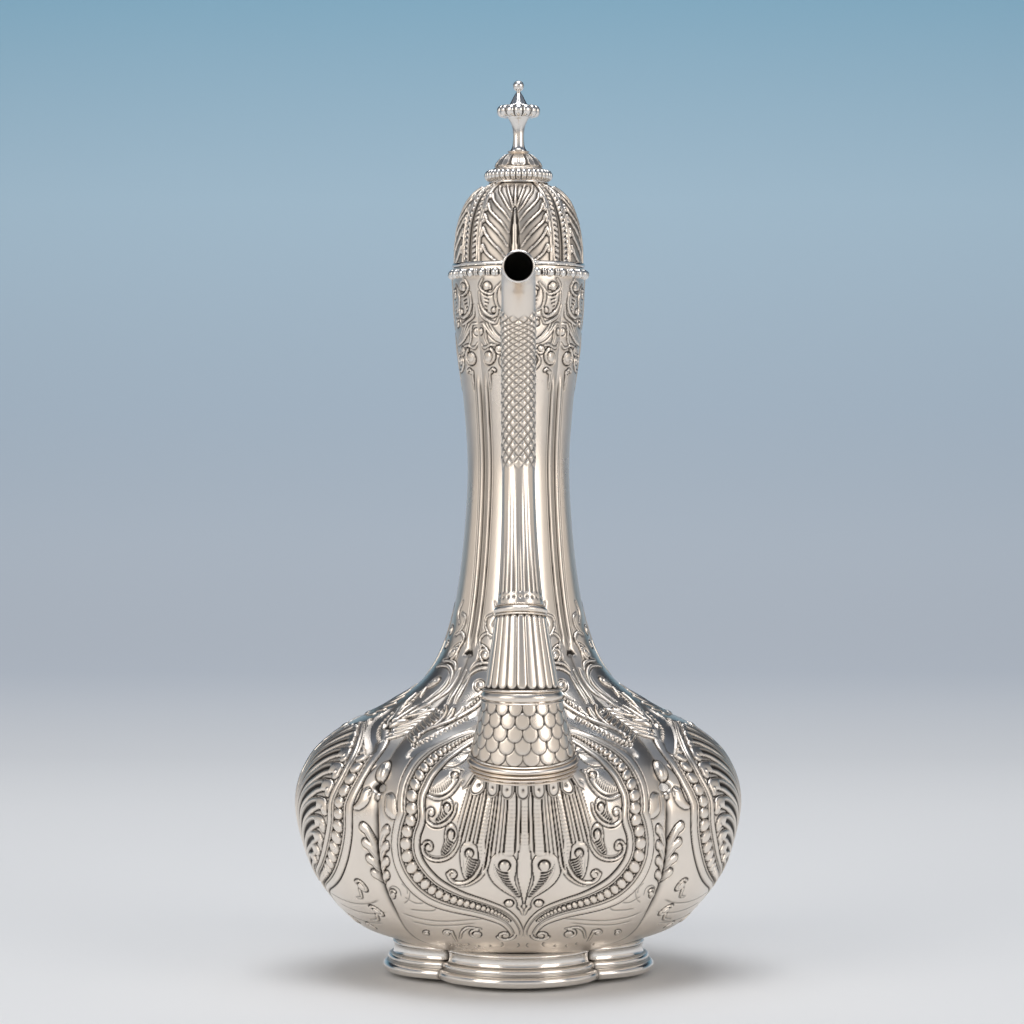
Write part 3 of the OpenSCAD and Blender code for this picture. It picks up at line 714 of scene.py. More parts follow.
def chase_shoulder(r):
    """What all lobes share between the border and the neck's foot."""
    channel = [(43, 82), (36, 87.6), (30, 92), (25, 95.6), (20, 99.8), (15.5, 104.6), (12.6, 110)]
    box, gap, _, along = r.near(spline(channel), 5) or (None, None, None, None)
    if box:
        half = np.interp(along, [0, 0.3, 0.8, 1], [1.4, 2.6, 2.8, 1.6])
        hollow = np.clip(1 - (gap / half) ** 2, 0, 1) * smoothstep(0, 0.1, along)
        r.fade(hollow <= 0.03, box)
        r.base[box] -= 0.9 * hollow * smoothstep(0, 0.15, 1 - along)
        r.ground[box] = np.maximum(r.ground[box], 0.5 * hollow * smoothstep(0.25, 0.8, along))
    for k in range(12):
        t = k / 11
        r.ball((39.5 - 21 * t, 88.2 + 16.4 * t - 2.2 * math.sin(math.pi * t)), 0.62, 0.5, 0.34)
    r.ridge([(41.5, 90.4), (37, 94), (33, 97), (28.6, 99.8), (25, 102.4), (20, 106.6), (15, 111.6),
             (12.4, 116)], (0.6, 1.2, 1.5, 1.5, 1), 0.6, 0.3)
    for hook in ([(20.8, 107.6), (23.2, 102.4), (29.6, 97)], [(24.2, 108.2), (25.8, 103.6), (31.4, 98.4)],
                 [(27, 108), (28.2, 104.2), (33, 99.6)]):
        r.cut(hook, (0.3, 0.8, 0.5), 0.42, 0.05)
    # the scalloped leaf between the reed and the crease
    for k in range(7):
        t = k / 6
        w = 41 - 10.5 * t
        s = 91 + 14 * t
        r.ridge([(w - 1.2, s - 0.6), (w + 1.6, s + 1.6), (w + 2.4, s + 4)], (2.4, 2.6, 1.4), 0.55, 0.4)
        r.cut([(w, s + 0.4), (w + 1.7, s + 2.2), (w + 2.2, s + 3.4)], 0.5, 0.22)
    r.curl((29.6, 107.2), 2.2, -70, 1.1, 1, 1, 0.5)
    r.ridge([(31.4, 98.8), (29.6, 101.5), (28, 104.6), (27.2, 108.4), (27.8, 111)],
            (0.6, 1.4, 1.3, 0.8), 0.45, 0.35)
    r.ridge([(29, 99.6), (26.4, 102.6), (24.6, 106.2), (23.8, 109.6)], (0.6, 1.5, 1.7, 1), 0.5, 0.35)
    r.ridge([(25.4, 102.6), (22.6, 105), (20.4, 107.6), (19.4, 110.6)], (0.5, 1.1, 1.2, 0.6), 0.45, 0.3)
    r.ridge([(27, 112), (25.6, 117), (23, 122.6), (20.4, 127.6)], (0.5, 1.8, 1.4, 0.4), 0.4, 0.28)
    r.ridge([(23.6, 112.6), (22.4, 117), (20.6, 121.4), (18, 126)], (0.4, 1.6, 1.2, 0.4), 0.36, 0.26)
    for k in range(5):
        w, s = 17.6 - 1.0 * k, 111.2 + 1.5 * k
        r.ball((w, s), 0.62, 0.34, 0.3)
    # the scrolls at the neck's foot
    r.curl((13.8, 122), 2.7, -80, 1.2, 1, 1.1, 0.55)
    r.ridge([(13.2, 119.2), (15.4, 116.6), (17.8, 114.6)], (1.1, 0.8, 0.4), 0.4)
    r.ridge([(21.4, 122.4), (18.4, 126), (15, 128.2), (11.4, 128.8), (7, 128)], (0.4, 1, 1.1, 0.6), 0.34)
    r.ridge([(18.6, 127.4), (16, 129.8), (12.4, 130.6), (9, 130.4)], (0.4, 1, 1, 0.4), 0.32)
    r.curl((12.2, 133.4), 2.8, -60, 1.2, 1, 1, 0.42)
    r.ridge([(11.4, 135.4), (13.6, 136.4), (14.6, 134.4)], (0.5, 0.8, 0.4), 0.3)
    r.ridge([(15.4, 131.2), (14.2, 134.6), (14.6, 138.2), (12.2, 140.4), (9.4, 139.6)],
            (0.4, 0.9, 0.8, 0.4), 0.3)
    r.ridge([(9.6, 146.8), (11.8, 145.6), (12.2, 142.6), (10.2, 139.4)], (0.4, 0.8, 0.4), 0.26)
    r.ridge([(9.4, 143.4), (7.4, 146.6), (8.6, 150.6)], (0.4, 0.8, 0.3), 0.26)
    r.ball((5.5, 136), 1.2, 0.4)
    r.curl((4.6, 141), 1.9, -60, 1, 1, 0.7, 0.3)
    r.ridge([(0, 124), (0, 132), (0, 140), (0, 150)], (0.4, 2.2, 1.6, 0.3), 0.4)
    r.cut([(19.4, 134.4), (18.8, 133.6), (18, 134)], 1.6, 0.6, 0.02)


# The middle of the boss on a side lobe's shoulder
BOSS_AT = (31.8, 99)


def shoulder_boss(r):
    """A smooth oval boss in a dark hollow, on the shoulder of a side lobe."""
    x, y = r.w - BOSS_AT[0], r.s - BOSS_AT[1]
    reach = np.hypot(x / 2.1, y / 2.7)
    pool = smoothstep(2, 1.3, reach) * (np.abs(y) < 6)
    r.fade(1 - pool)
    r.base -= 0.7 * pool
    r.ground = np.maximum(r.ground, 0.6 * pool * (reach > 1))
    r.base += 1.7 * half_round(reach)


def chase_neck(r):
    """The long reeds of the neck and the scrolls under its rim."""
    from_crease = QUARTER * body_radius(r.s) - r.w
    tall = between(134, 141, 219, 225, r.s)
    reed = 0.42 * half_round((from_crease - 1.75) / 0.75)
    r.base += reed * tall
    for place, depth in ((0.85, 0.2), (2.65, 0.2), (3.5, 0.12)):
        r.cuts = np.maximum(r.cuts, depth * tall * bump(from_crease, place, 0.28))
    # the big leaf under the rim
    r.curl((11.4, 252.2), 1.9, 200, 0.9, -1, 0.7, 0.36, 0.62)
    r.ridge([(7.6, 252.4), (9.6, 250), (12.6, 250.6), (14.1, 252.6), (12.8, 254.8)],
            (0.3, 0.7, 0.9, 0.6), 0.34)
    r.comb((12.9, 249.9), (12.6, 245), 5, (-2.4, -0.7), 0.55, 0.36)
    r.ridge([(14.6, 250.6), (14.3, 247), (12.6, 244.2), (9.8, 242.8), (7.9, 243.4), (7.6, 245.2)],
            (0.5, 1, 1, 0.8), 0.34)
    r.ball((8.9, 244.7), 0.85, 0.42)
    r.ridge([(15.6, 246.6), (14.4, 243.2), (11.2, 241.4), (8.4, 240.6), (7.2, 242.4)],
            (0.4, 0.9, 0.9, 0.5), 0.3)
    r.ridge([(6.2, 253.4), (7.9, 251.2), (8.3, 248.4), (7.4, 245.8), (5.6, 244.6)],
            (0.5, 0.9, 0.8, 0.4), 0.32)
    r.curl((4.4, 250.4), 2.1, 40, 1.1, 1, 0.8, 0.34)
    r.comb((5.6, 248), (4.4, 243), 5, (-1.8, -0.6), 0.5, 0.32)
    r.curl((5.4, 240.8), 1.7, 60, 1, 1, 0.6, 0.3)
    for shift in (0, 1.3, 2.6):
        r.ridge([(13.4 - shift, 240.6), (10.4 - shift * 0.8, 237.2), (7.4 - shift * 0.7, 235),
                 (4.6 - shift * 0.5, 234)], (0.4, 0.9, 0.9, 0.4), 0.28)
    r.ball((15, 238), 1.1, 0.42)
    r.ridge([(16, 240.6), (13.6, 240.4), (12.6, 238.2), (12.2, 235.6), (10.8, 233.2)],
            (0.4, 0.9, 0.8, 0.4), 0.3)
    r.ridge([(10.8, 233.4), (13.4, 232.8), (15.2, 234.4)], (0.4, 0.8, 0.4), 0.26)
    r.curl((11.2, 229.7), 3.2, 110, 1.15, 1, 1, 0.42, 0.5)
    r.curl((7, 232.2), 1.9, 200, 1, 1, 0.8, 0.36)
    r.ridge([(8.4, 233.4), (10.4, 233.6), (12.4, 232.8)], (0.6, 0.9, 0.5), 0.3)
    r.curl((4.2, 229), 2, 110, 1.1, 1, 0.7, 0.34)
    r.ridge([(5.4, 230.8), (6.6, 228.6), (5.4, 226.4), (3, 225.4), (0, 226.2)],
            (0.5, 0.9, 0.8, 0.5), 0.32)
    r.curl((9.7, 224.9), 1.6, 160, 0.55, -1, 0.8, 0.36, 0.2)
    r.ridge([(10.9, 225), (10.6, 222.6), (10.4, 219.6)], (0.8, 0.6, 0.2), 0.3)
    r.ridge([(0, 238), (0, 232), (0, 226), (0, 219)], (0.4, 2.4, 1.4, 0.2), 0.42)
    r.ridge([(0, 256), (0, 250), (0, 244), (0, 239)], (1.4, 1, 1.6, 0.4), 0.4)


# Places up the surface of the recess on the crease, the bud over it and the knob under it
RECESS_AT = 71.2
BUD_AT = 76.4
KNOB_AT = 68.4


def chase_crease(r):
    """Fades the relief out at the crease and opens the small recess on it."""
    from_crease = QUARTER * body_radius(r.s) - r.w
    r.fade(smoothstep(0.15, 1.2, from_crease))
    hole = np.exp(-(((r.s - RECESS_AT) / 1.5) ** 2 + (from_crease / 2.6) ** 2) ** 1.5)
    r.base -= 1.6 * hole
    r.ground = np.maximum(r.ground, hole)
    for place, half, wide, rise in ((BUD_AT, 3.6, 2.9, 1.9), (KNOB_AT, 1.3, 1.3, 1.1)):
        reach = ((r.s - place) / half) ** 2 + (from_crease / wide) ** 2
        inside = reach < 1
        r.base = np.where(inside, r.base + rise * np.sqrt(np.clip(1 - reach, 0, 1)), r.base)
        r.fade(~inside)
        rim = bump(np.sqrt(reach), 1.08, 0.12)
        r.ground = np.where(inside, 0, np.maximum(r.ground, 0.8 * rim))
    # Painted shade in the crease: its valley below the recess and a thin line up its whole length are
    # darkened.
    valley = bump(from_crease, 0, 1.1) * between(20, 34, 62, 68, r.s)
    r.base -= 0.7 * valley
    r.ground = np.maximum(r.ground, 0.5 * valley)
    line = bump(from_crease, 0, 0.5) * between(2, 12, 214, 224, r.s) * (np.abs(r.s - BUD_AT) > 3.6)
    r.ground = np.maximum(r.ground, 0.6 * line)
    end = np.exp(-(((r.s - 133.9) / 1.1) ** 2 + (from_crease / 1.2) ** 2))
    r.base -= 0.5 * end
    r.ground = np.maximum(r.ground, 0.8 * end)


# Distance between rows of the body's grid, and columns over half a lobe
BODY_SPACING = 0.28
BULB_COLS = 200
NECK_COLS = 66


def half_lobe(low, high, cols, chase):
    """Points, normals and darkness of half a lobe between two places up the surface."""
    s_line = np.arange(low - BODY_SPACING, high + BODY_SPACING * 1.5, BODY_SPACING)
    stretch = (high - low + 2 * BODY_SPACING) / (s_line[-1] - s_line[0])
    s_line = low - BODY_SPACING + (s_line - s_line[0]) * stretch
    angle, s = np.meshgrid(np.linspace(0, QUARTER, cols), s_line)
    smooth = lobe_surface(angle, s)
    outward = -grid_normals(smooth, mirrored=True)
    # near the crease the relief rises along the crease's own plane, so that the halves meet
    side = np.array([math.cos(QUARTER), -math.sin(QUARTER), 0])
    flat = unit(outward - (outward @ side)[..., None] * side)
    from_crease = ((QUARTER - angle) * body_radius(s))[..., None]
    outward = unit(outward + (flat - outward) * (1 - smoothstep(0, 3, from_crease)))
    r = Relief(angle * body_radius(s), s)
    r.place = smooth
    chase(r)
    points = smooth + outward * r.height()[..., None]
    normals = -grid_normals(points, mirrored=True)
    dark = r.darkness(BODY_SPACING)
    trim = slice(1, -1)
    return points[trim], normals[trim], dark[trim]


def placed(local, turn, hand):
    """Turns sideways, outward and up into the frame's axes, for a lobe that points to an angle."""
    out = np.array([math.cos(turn), math.sin(turn), 0])
    side = np.array([-math.sin(turn), math.cos(turn), 0]) * hand
    return (local[..., 1:2] * out + local[..., 0:1] * side
            + local[..., 2:3] * np.array([0, 0, 1.0]))


# The direction that each lobe points to, in degrees
LOBES = {"front": -90, "right": 0, "back": 90, "left": 180}


# ---- Materials ----------------------------------------------------------------------

def add(tree, kind, **inputs):
    node = tree.nodes.new("ShaderNode" + kind)
    for key, value in inputs.items():
        node.inputs[key.replace("_", " ")].default_value = value
    return node


def wire(tree, *links):
    """Joins sockets. Each link names a node and its output, then a node and its input."""
    for source, output, target, socket in links:
        tree.links.new(source.outputs[output], target.inputs[socket])


def fill_ramp(ramp, stops):
    """Sets a colour ramp from its [position, colour] stops."""
    elements = ramp.color_ramp.elements
    for element, (position, colour) in zip(elements, (stops[0], stops[-1])):
        element.position = position
        element.color = (*colour, 1)
    for position, colour in stops[1:-1]:
        elements.new(position).color = (*colour, 1)


def ramp_by_height(tree, coordinate, low, high, stops):
    """A colour ramp over the height of a texture coordinate, from low to high."""
    place = add(tree, "TexCoord")
    split = add(tree, "SeparateXYZ")
    reach = add(tree, "MapRange", From_Min=low, From_Max=high)
    ramp = add(tree, "ValToRGB")
    fill_ramp(ramp, stops)
    wire(tree, (place, coordinate, split, "Vector"), (split, "Z", reach, "Value"),
         (reach, "Result", ramp, "Fac"))
    return ramp


def new_material(name):
    material = bpy.data.materials.new(name)
    material.use_nodes = True
    material.node_tree.nodes.clear()
    return material, material.node_tree


def silver(name, slot, tint, oxide_and_shade, rough, worn, chased):
    """Silver with a fine brushed gloss, and its slot. A chased one is darkened by "dark"."""
    material, tree = new_material(name)
    out = add(tree, "OutputMaterial")
    shader = add(tree, "BsdfPrincipled", Metallic=1.0)
    place = add(tree, "TexCoord")
    cloud = add(tree, "TexNoise", Scale=45.0, Detail=4.0, Roughness=0.6)
    grain = add(tree, "TexNoise", Scale=900.0, Detail=3.0, Roughness=0.65)
    patch = add(tree, "MapRange", From_Min=0.3, From_Max=0.75, To_Min=0.0, To_Max=worn)
    shade = add(tree, "Mix")
    shade.data_type = "RGBA"
    shade.inputs["A"].default_value = (*tint, 1)
    shade.inputs["B"].default_value = (*oxide_and_shade, 1)
    gloss = add(tree, "MapRange", From_Min=0.0, From_Max=1.0, To_Min=rough, To_Max=0.55)
    tone = (patch, "Result")
    if chased:
        dark = add(tree, "Attribute")
        dark.attribute_name = "dark"
        total = add(tree, "Math")
        total.operation = "ADD"
        total.use_clamp = True
        wire(tree, (dark, "Fac", total, 0), (*tone, total, 1))
        tone = (total, "Value")
    ripple = add(tree, "Bump", Strength=0.06, Distance=0.00006)
    wire(tree, (place, "Object", cloud, "Vector"), (place, "Object", grain, "Vector"),
         (cloud, "Fac", patch, "Value"), (*tone, shade, "Factor"), (*tone, gloss, "Value"),
         (shade, "Result", shader, "Base Color"), (gloss, "Result", shader, "Roughness"),
         (grain, "Fac", ripple, "Height"), (ripple, "Normal", shader, "Normal"),
         (shader, "BSDF", out, "Surface"))
    return material, slot


def bone(name):
    """Off-white bone with fine grain, and its slot."""
    material, tree = new_material(name)
    out = add(tree, "OutputMaterial")
    shader = add(tree, "BsdfPrincipled", Roughness=0.32, Subsurface_Weight=0.12,
                 Subsurface_Radius=(0.004, 0.002, 0.001))
    place = add(tree, "TexCoord")
    grain = add(tree, "TexNoise", Scale=420.0, Detail=5.0, Roughness=0.6)
    ramp = add(tree, "ValToRGB")
    fill_ramp(ramp, [(0.3, (0.62, 0.5, 0.33)), (0.62, (0.86, 0.79, 0.63))])
    wire(tree, (place, "Object", grain, "Vector"), (grain, "Fac", ramp, "Fac"),
         (ramp, "Color", shader, "Base Color"), (shader, "BSDF", out, "Surface"))
    return material, name


# The colour of the oxide in the chasing's hollows; the painted shade in the dark attribute takes it too.
OXIDE_AND_SHADE = (0.05, 0.043, 0.038)
BRIGHT = (0.93, 0.89, 0.84)
chased = silver("chased_silver", "chased_silver", (0.96, 0.87, 0.77), OXIDE_AND_SHADE, 0.27, 0.08, True)
polished = silver("polished_silver", "polished_silver", BRIGHT, (0.3, 0.28, 0.26), 0.14, 0.2, False)
polished_lined = silver("polished_silver_lined", "polished_silver", BRIGHT, OXIDE_AND_SHADE, 0.17, 0.05, True)
plain = silver("plain_silver", "plain_silver", (0.8, 0.77, 0.73), (0.25, 0.23, 0.21), 0.24, 0.4, False)
ivory_bone = bone("insulator_bone")


# ---- Body ---------------------------------------------------------------------------

def chase_all(*steps):
    """One chasing function out of several, which ends with the neck and the crease."""
    def chase(r):
        for step in (*steps, chase_neck, chase_crease):
            step(r)
    return chase


def body_pieces():
    front = half_lobe(0, NECK_SPLIT, BULB_COLS, chase_all(chase_front, chase_shoulder))
    other = half_lobe(0, NECK_SPLIT, BULB_COLS, chase_all(chase_side, chase_shoulder, shoulder_boss))
    neck = half_lobe(NECK_SPLIT, TOTAL_S, NECK_COLS, chase_all(chase_shoulder))
    for lobe, degrees in LOBES.items():
        bulb = front if lobe == "front" else other
        for part, (points, normals, dark) in (("bulb", bulb), ("neck", neck)):
            for letter, hand in (("a", 1), ("b", -1)):
                p = placed(points, math.radians(degrees + BODY_TURN), hand)
                n = placed(normals, math.radians(degrees + BODY_TURN), hand)
                d = dark
                if hand < 0:
                    p, n, d = p[:, ::-1], n[:, ::-1], d[:, ::-1]
                grid_mesh(f"{part}_{lobe}_{letter}", p, chased, ["body_shell"], False, d, n)


def body_ring(angles, s, inset):
    """A closed ring of the body inside its outer face by a distance."""
    z = body_height(s)
    r = body_radius(s) * lobe_factor(from_lobe(angles), z) - inset
    return round_upright(r, angles, z)


def body_lining():
    """The neck's mouth edge and the inside wall down to the floor, and the body's underside."""
    angles = round_angles(192)
    top = body_ring(angles, TOTAL_S, 0)
    edge = body_ring(angles, TOTAL_S, WALL)
    rows = [top, (top + edge) / 2, edge]
    for s in np.linspace(TOTAL_S - 0.4, 5, 120):
        rows.append(body_ring(angles, s, WALL))
    floor = rows[-1].copy()
    floor[..., 2] = 10.8
    for part in (0.9, 0.6, 0.3, 0.02):
        ring = floor.copy()
        ring[..., :2] *= part
        rows.append(ring)
    grid_mesh("body_lining", np.array(rows), plain, ["body_shell"], normals=())
    base = body_ring(angles, 0, 0)
    rows = []
    for part in (0.02, 0.4, 0.8, 1):
        ring = base.copy()
        ring[..., :2] *= part
        ring[..., 2] += 0.9 * (1 - part)
        rows.append(ring)
    grid_mesh("body_underside", np.array(rows), plain, ["body_shell"], normals=())


body_pieces()
body_lining()

# ---- Spout --------------------------------------------------------------------------

SPOUT_STEPS = 40
SPOUT_CURVE = spline(SPOUT_LINE, SPOUT_STEPS)
SPOUT_T = np.arange(len(SPOUT_CURVE)) / SPOUT_STEPS
SPOUT_RUN = lengths(SPOUT_CURVE[:, :2])
SPOUT_DIR = unit(np.gradient(SPOUT_CURVE[:, :2], axis=0))
BASE_RUN, MIDDLE_RUN, TOP_RUN, END_RUN = np.interp([2, 3, 4, 11], SPOUT_T, SPOUT_RUN)


def spout_point(run, angle, out):
    """A point off the spout's skin, by the distance along its middle line and the angle round it."""
    y, z, r = (np.interp(run, SPOUT_RUN, SPOUT_CURVE[:, k]) for k in range(3))
    ty, tz = (np.interp(run, SPOUT_RUN, SPOUT_DIR[:, k]) for k in range(2))
    points = round_line(r + out, angle, y, z, ty, tz)
    points[..., 0] += SPOUT_LEAN * (1 - smoothstep(BASE_RUN - 10, TOP_RUN + 50, run))
    return points


def spout_radius(run):
    return np.interp(run, SPOUT_RUN, SPOUT_CURVE[:, 2])


def outside_body(p):
    """How far points lie outside the body's face, straight out from the pot's axis."""
    x, y, z = p[..., 0], p[..., 1], p[..., 2]
    radius = np.interp(z, BODY_CURVE[:, 0], BODY_CURVE[:, 1])
    return np.hypot(x, y) - radius * lobe_factor(from_lobe(np.arctan2(y, x)), z)


def leaves_body(point_at, low, high, out):
    """Where a line comes out of the body by a distance: point_at(place) is a point on the line."""
    for _ in range(20):
        middle = (low + high) / 2
        under = outside_body(point_at(middle)) < out
        low = np.where(under, middle, low)
        high = np.where(under, high, middle)
    return low


def spout_start(angle):
    """Where the spout leaves the body at each angle, a little sunk into it."""
    end = np.full_like(angle, MIDDLE_RUN + 6)
    return leaves_body(lambda run: spout_point(run, angle, 0), np.zeros_like(angle), end, 0) - 0.6


def cell_place(angle, count, shift=0.0):
    """Where an angle lies in its cell, from -0.5 to 0.5. Without a shift a cell's middle is in front."""
    place = (angle + math.pi / 2) * count / (2 * math.pi) + shift
    return place - np.round(place)


def capsule(x, y, half, low, high):
    """Distance from a vertical stroke with round ends, as a part of its half width."""
    end = np.clip(y, low + half, np.maximum(high - half, low + half))
    return np.hypot(x, y - end) / half


TAB_COUNT = 22
TAB_LENGTH = 7.1
SCALE_PITCH = 3.4
SCALE_COUNT = 18
RIB_COUNT = 22
FLUTE_COUNT = 22
LATTICE_COUNT = 10


def fringe_relief(run, angle):
    """Round-ended tabs that hang under the base collar, each with a rim and a punched dot."""
    half = math.pi * spout_radius(BASE_RUN - 5) / TAB_COUNT
    x = np.abs(cell_place(angle, TAB_COUNT)) * 2 * half
    low = BASE_RUN - TAB_LENGTH
    depth = half * 0.9 - np.where(run < low + half, np.hypot(x, run - low - half), x)
    tab = smoothstep(-0.1, 0.22, depth)
    inner = smoothstep(0.42, 0.6, depth)
    dot = bump(np.hypot(x, run - low - half * 1.15), 0, 0.42)
    side_line = bump(x, half, 0.16) * smoothstep(low + half * 0.8, low + half * 1.4, run)
    sunk = smoothstep(low + half * 1.1, low + half * 0.5, run)
    height = 0.5 * tab - 0.14 * inner - 0.4 * dot + (1 - tab) * (0.2 * side_line - 1.6 * sunk)
    edge = bump(depth + 0.1, 0, 0.26)
    inner_line = bump(depth, 0.62, 0.22)
    # Painted shadow under and between the tabs: the ground round them is darkened, most under their round
    # ends.
    dark = edge + (1 - tab) * (0.6 * side_line + 0.9 * sunk + 0.35) + 0.95 * inner_line + dot
    return height, np.clip(dark, 0, 1)


def scale_relief(run, angle):
    """Rows of round fish scales, each over the next one down, in thin dark outlines."""
    low = BASE_RUN + 2.3
    cell = 2 * math.pi * spout_radius(run) / SCALE_COUNT
    height = np.zeros(run.shape)
    # The gaps between the scales and their outlines are darkened: oxide in the outline grooves, and
    # painted shade in the gaps under the overlapping scales.
    dark = 0.25 + 0.6 * smoothstep(low + 1.2, low + 2.6, run)
    for k in range(6):
        x = np.abs(cell_place(angle, SCALE_COUNT, 0.5 * ((k + 1) % 2))) * cell
        y = run - low - SCALE_PITCH * k
        half = cell * 0.5
        depth = half - np.hypot(x, y - half)
        inside = smoothstep(0, 0.18, depth)
        edge = bump(depth, 0.02, 0.2)
        rim = bump(depth, 0.52, 0.13) * (y < half * 1.2)
        over = 0.44 - 0.06 * y / SCALE_PITCH - 0.07 * rim
        height = height * (1 - inside) + over * inside - 0.1 * edge
        dark = np.where(depth > 0.1, 0.2 * rim, dark * (1 - inside))
        dark = np.maximum(dark, 0.9 * edge)
    return height, np.clip(dark, 0, 1)


def rib_relief(run, angle):
    """Upright ribs with round ends."""
    cell = 2 * math.pi * spout_radius(run) / RIB_COUNT
    x = cell_place(angle, RIB_COUNT) * cell
    rho = capsule(x, run, cell * 0.49, MIDDLE_RUN + 2, TOP_RUN - 2.3)
    height = 0.45 * np.sqrt(np.clip(1 - rho ** 3.4, 0, 1))
    return height, smoothstep(0.84, 1, rho) * 0.95


def shaft_relief(run, angle):
    """A row of dots, flutes that fade upwards, and a lattice of small diamonds below the bend."""
    up = run - TOP_RUN
    radius = spout_radius(run)
    cell = 2 * math.pi * radius / FLUTE_COUNT
    x = cell_place(angle, FLUTE_COUNT) * cell
    dot = bump(np.hypot(x, up - 2.9), 0, 0.42)
    rho = capsule(x, up, cell * 0.25, 4.2, 60)
    fade = 0.3 + 0.7 * (1 - smoothstep(6, 26, up))
    fade = fade * (1 - smoothstep(26, 44, up))
    flute = bump(rho, 0, 0.85) * fade
    height = -0.35 * dot - 0.3 * flute
    dark = 0.95 * dot + 0.8 * flute * (1 - smoothstep(6, 30, up))
    climb = up / np.interp(up, [44, 92], [5.4, 3.6])
    cells = 2 * math.pi * radius / LATTICE_COUNT
    zone = between(43, 47, 93, 96, up)
    first = np.abs(cell_place(angle, LATTICE_COUNT, climb)) * cells * 0.85
    second = np.abs(cell_place(angle, LATTICE_COUNT, -climb)) * cells * 0.85
    near = np.minimum(first, second)
    height = height + zone * (0.42 * (1 - bump(near, 0, 0.55)) - 0.1 * bump(near, 0, 0.16))
    dark = dark + zone * 0.7 * bump(near, 0, 0.3)
    return height, np.clip(dark, 0, 1)


def spout_section(name, low, high, cols, spacing, relief, from_body=False):
    """One stretch of the spout's skin. The angles start at the back."""
    angles = round_angles(cols) + math.pi / 2
    rows = int((high - low) / spacing) + 2
    part, angle = np.meshgrid(np.linspace(0, 1, rows), angles, indexing="ij")
    start = spout_start(angle) if from_body else np.full_like(angle, low)
    if from_body:
        facing = -np.sin(angle) > -0.3
        start = np.where(facing, np.minimum(start, BASE_RUN - TAB_LENGTH - 1), start)
    run = start + (high - start) * part
    height, dark = relief(run, angle)
    if from_body:
        short = np.clip(0.95 - outside_body(spout_point(run, angle, 0)), 0, 3.6)
        tip = BASE_RUN - TAB_LENGTH
        height = height + short * facing * smoothstep(tip - 0.4, tip, run)
    points = spout_point(run, angle, height)
    grid_mesh(name, points, chased, ["spout_tube"], dark=dark)


def spout_ring(name, middle, profile):
    """A moulded wire round the spout. profile is [distance along from its middle, height]."""
    line = spline(profile, 6)
    angle, _ = np.meshgrid(round_angles(160), line[:, 0])
    run = middle + line[:, 0][:, None] + 0 * angle
    points = spout_point(run, angle, line[:, 1][:, None])
    hollow = np.interp(line[:, 1], [0.1, 0.55], [0.95, 0])[:, None] + 0 * angle
    grid_mesh(name, points, chased, [f"spout_{name}"], dark=hollow)


def roll(low, high, height, foot=0.25):
    """Profile points of one round roll."""
    return [(low, foot), (low + 0.18 * (high - low), height * 0.72), ((low + high) / 2, height),
            (high - 0.18 * (high - low), height * 0.72), (high, foot)]


def spout_pieces():
    spout_section("spout_fringe", 0, BASE_RUN - 1.6, 420, 0.26, fringe_relief, True)
    spout_section("spout_scales", BASE_RUN + 1, MIDDLE_RUN, 400, 0.26, scale_relief)
    spout_section("spout_ribs", MIDDLE_RUN, TOP_RUN, 288, 0.3, rib_relief)
    spout_section("spout_shaft", TOP_RUN, END_RUN, 180, 0.26, shaft_relief)
    angle, run = np.meshgrid(round_angles(64), np.linspace(END_RUN, TOP_RUN, 70))
    points = spout_point(run, angle, -0.5 - 0.4 * (END_RUN - run) / 120)
    grid_mesh("spout_lining", points, plain, ["spout_tube"])
    spout_ring("base_collar", BASE_RUN,
               [(-3.3, -0.6), *roll(-3.2, -2.4, 1, 0.1), *roll(-2.3, -1.5, 1.15, 0.3),
                *roll(-1.4, -0.5, 1.25, 0.3), *roll(-0.4, 1.6, 1.35, 0.3), *roll(1.7, 2.4, 1, 0.3),
                (2.6, -0.3)])
    spout_ring("middle_collar", MIDDLE_RUN,
               [(-2.3, -0.2), *roll(-2.2, -1.5, 0.8), *roll(-1.4, 0.9, 0.95, 0.35),
                *roll(1, 1.8, 0.95), (1.9, -0.2)])
    spout_ring("top_collar", TOP_RUN,
               [(-2.5, -0.2), *roll(-2.4, -1.6, 0.8), *roll(-1.5, 0.5, 1, 0.4),
                *roll(0.6, 1.1, 0.7), (1.2, -0.2)])


# ---- Lid ----------------------------------------------------------------------------

DOME_CURVE = spline(DOME_OUTLINE, 16)
DOME_S = lengths(DOME_CURVE)
DOME_TURN = math.radians(-3.5)
DOME_COLS = 62
DOME_SPACING = 0.27
# Ribs of the leaf on one panel of the dome, from the middle outwards: [degrees, s]
DOME_RIBS = [
    [(14, -1), (20, 0.5), (26, 2.4), (30.5, 5), (31.5, 3.4)],
    [(8, 0.5), (13, 3), (20, 5.4), (27, 8.2), (31, 10.6), (32, 8.6)],
    [(6.5, 4.5), (12, 7.4), (20, 10.4), (27, 12.6), (31, 15), (32, 13)],
    [(5.5, 8.8), (11, 11.6), (19, 14.2), (26, 16.4), (30, 18.8), (31.5, 17)],
    [(4.5, 12.8), (10, 15.4), (18, 18), (25, 20.4), (29, 23), (31, 21.6)],
    [(3.5, 16), (8, 18), (14, 21), (20, 23.6), (24, 26.4)],
    [(2, 17.5), (5, 20.4), (9, 23.6), (13, 27)],
    [(0, 18), (0, 22), (0, 27.4)],
]


def dome_radius(s):
    return np.interp(s, DOME_S, DOME_CURVE[:, 0])


def by_degrees(points):
    """Turns [degrees from the panel's middle, s] into the w and s of the relief."""
    p = np.array(points, float)
    return np.stack([np.radians(p[:, 0]) * dome_radius(p[:, 1]), p[:, 1]], axis=-1)


